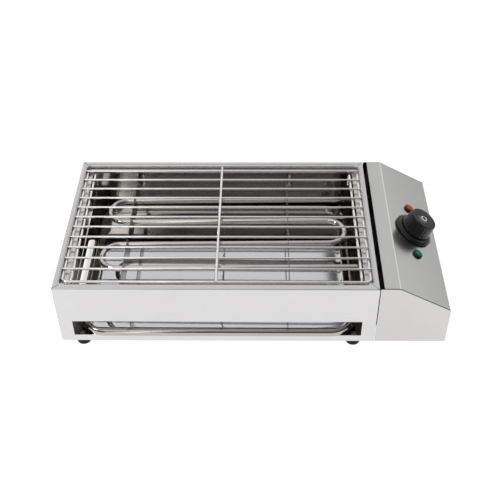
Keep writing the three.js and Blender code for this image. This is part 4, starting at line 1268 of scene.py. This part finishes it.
def white_floor():
    """A white table that takes the object's shadow, and is shaded under the body."""
    material, tree, shader = new_material("white table")
    path = placed(tree, "ShaderNodeLightPath", {})
    seen = worked(tree, "MAXIMUM", path["Is Camera Ray"], path["Is Glossy Ray"])
    place = placed(tree, "ShaderNodeTexCoord", {})["Object"]
    off_middle = vector_worked(tree, "ABSOLUTE", vector_worked(tree, "SUBTRACT", place, UNDER_BODY[0]))
    beyond = placed(tree, "ShaderNodeSeparateXYZ", {
        0: vector_worked(tree, "SUBTRACT", off_middle, UNDER_BODY[1])})
    outside = worked(tree, "MAXIMUM", beyond["X"], beyond["Y"])
    glow = mapped(tree, outside, -UNDER_BODY_BLUR, 0.0, FLOOR_GLOW * UNDER_BODY_TONE, FLOOR_GLOW)
    fed(tree, shader, {
        "Base Color": FLOOR_TONE,
        "Roughness": FLOOR_ROUGHNESS,
        "Specular IOR Level": 0.0,
        "Emission Color": WHITE,
        "Emission Strength": worked(tree, "MULTIPLY", seen, glow)})
    return material


def studio_world():
    """Pale panels behind and above the table, parted by a narrow gap, and a dim room in front."""
    world = bpy.data.worlds.new("studio")
    bpy.context.scene.world = world
    world.use_nodes = True
    tree = world.node_tree
    tree.nodes.clear()
    direction = placed(tree, "ShaderNodeTexCoord", {})["Generated"]
    split = placed(tree, "ShaderNodeSeparateXYZ", {0: direction})
    bearing = worked(tree, "DIVIDE", split["X"], split["Y"])

    front_stops = [(0.0, STUDIO_FRONT)]
    for dim_before, bright, still_bright, dim_after in FRONT_LIGHTS:
        front_stops += [(dim_before, STUDIO_FRONT), (bright, FRONT_LIGHT), (still_bright, FRONT_LIGHT),
                        (dim_after, STUDIO_FRONT)]
    front_stops.append((1.0, STUDIO_FRONT))
    front = ramp(tree, bearing, front_stops)
    behind = ramp(tree, split["Z"], [(height, (level, level, level, 1.0)) for height, level in STUDIO_BACK])
    backwards = mapped(tree, split["Y"], *FRONT_TO_BACK, curve="SMOOTHSTEP")
    room = blended(tree, backwards, front, behind)

    off_gap = worked(tree, "ABSOLUTE", worked(tree, "SUBTRACT", bearing, PANEL_GAP))
    gap = mapped(tree, off_gap, PANEL_GAP_HALF, PANEL_GAP_HALF + PANEL_GAP_BLUR, PANEL_GAP_TONE)

    overhead = placed(tree, "ShaderNodeVectorMath", {0: direction, 1: CEILING_AXIS}, operation="DOT_PRODUCT")
    upwards = mapped(tree, overhead["Value"], *CEILING_LIMITS, curve="SMOOTHSTEP")
    level = mapped(tree, split["X"], CEILING_LEFT[0], CEILING_RIGHT[0], CEILING_LEFT[1], CEILING_RIGHT[1])
    lit = blended(tree, upwards, room, scaled(tree, CEILING, level))

    light = placed(tree, "ShaderNodeBackground", {"Color": lit, "Strength": gap})
    white = placed(tree, "ShaderNodeBackground", {"Color": WHITE})
    path = placed(tree, "ShaderNodeLightPath", {})
    seen = placed(tree, "ShaderNodeMixShader", {"Fac": path["Is Camera Ray"], 1: light[0], 2: white[0]})
    placed(tree, "ShaderNodeOutputWorld", {"Surface": seen[0]})


class GRILL_OT_stage(bpy.types.Operator):
    """Sets the camera, the white table and the soft studio light"""

    bl_idname = "grill.stage"
    bl_label = "Stage"

    def execute(self, context):
        scene = context.scene
        scene.view_settings.view_transform = "Standard"
        data = bpy.data.cameras.new("camera")
        data.lens = CAMERA_LENS
        data.sensor_width = CAMERA_SENSOR
        camera = linked("camera", data)
        camera.location = at(*CAMERA_PLACE)
        camera.rotation_euler = [math.radians(angle) for angle in CAMERA_TURN]
        scene.camera = camera

        bm = bmesh.new()
        bmesh.ops.create_grid(bm, x_segments=1, y_segments=1, size=FLOOR_REACH)
        floor = object_from(bm, "table_top")
        floor.data.materials.append(white_floor())

        lamp = bpy.data.lights.new("side_panel", "AREA")
        lamp.size = LAMP_SIZE
        lamp.energy = LAMP_POWER
        stand = linked("side_panel", lamp)
        stand.location = Vector(LAMP_BEARING) * LAMP_DISTANCE
        stand.rotation_euler = Vector(LAMP_BEARING).to_track_quat("Z", "Y").to_euler()

        studio_world()
        return {"FINISHED"}


OPERATORS = (
    GRILL_OT_body,
    GRILL_OT_control_box,
    GRILL_OT_heater,
    GRILL_OT_drip_tray,
    GRILL_OT_grate,
    GRILL_OT_knob,
    GRILL_OT_lamps,
    GRILL_OT_feet,
    GRILL_OT_rivets,
    GRILL_OT_inner_parts,
    GRILL_OT_stage,
)


class GRILL_PT_panel(bpy.types.Panel):
    """Lists the grill's pieces and its sizes and colours"""

    bl_idname = "GRILL_PT_panel"
    bl_label = "Electric Grill"
    bl_space_type = "VIEW_3D"
    bl_region_type = "UI"
    bl_category = "Grill"

    def draw(self, context):
        for group in (context.scene.grill_sizes, context.scene.grill_colours):
            box = self.layout.box()
            for name in group.__annotations__:
                box.prop(group, name)
        for operator in OPERATORS:
            self.layout.operator(operator.bl_idname)


CLASSES = (GrillSizes, GrillColours, *OPERATORS, GRILL_PT_panel)


def register():
    for cls in CLASSES:
        bpy.utils.register_class(cls)
    bpy.types.Scene.grill_sizes = bpy.props.PointerProperty(type=GrillSizes)
    bpy.types.Scene.grill_colours = bpy.props.PointerProperty(type=GrillColours)


def unregister():
    del bpy.types.Scene.grill_colours
    del bpy.types.Scene.grill_sizes
    for cls in reversed(CLASSES):
        bpy.utils.unregister_class(cls)


def main():
    register()
    bpy.ops.grill.stage()
    bpy.ops.grill.body()
    bpy.ops.grill.control_box()
    bpy.ops.grill.heater()
    bpy.ops.grill.drip_tray()
    bpy.ops.grill.grate()
    bpy.ops.grill.knob()
    bpy.ops.grill.lamps()
    bpy.ops.grill.feet()
    bpy.ops.grill.rivets()
    bpy.ops.grill.inner_parts()


if __name__ == "__main__":
    main()
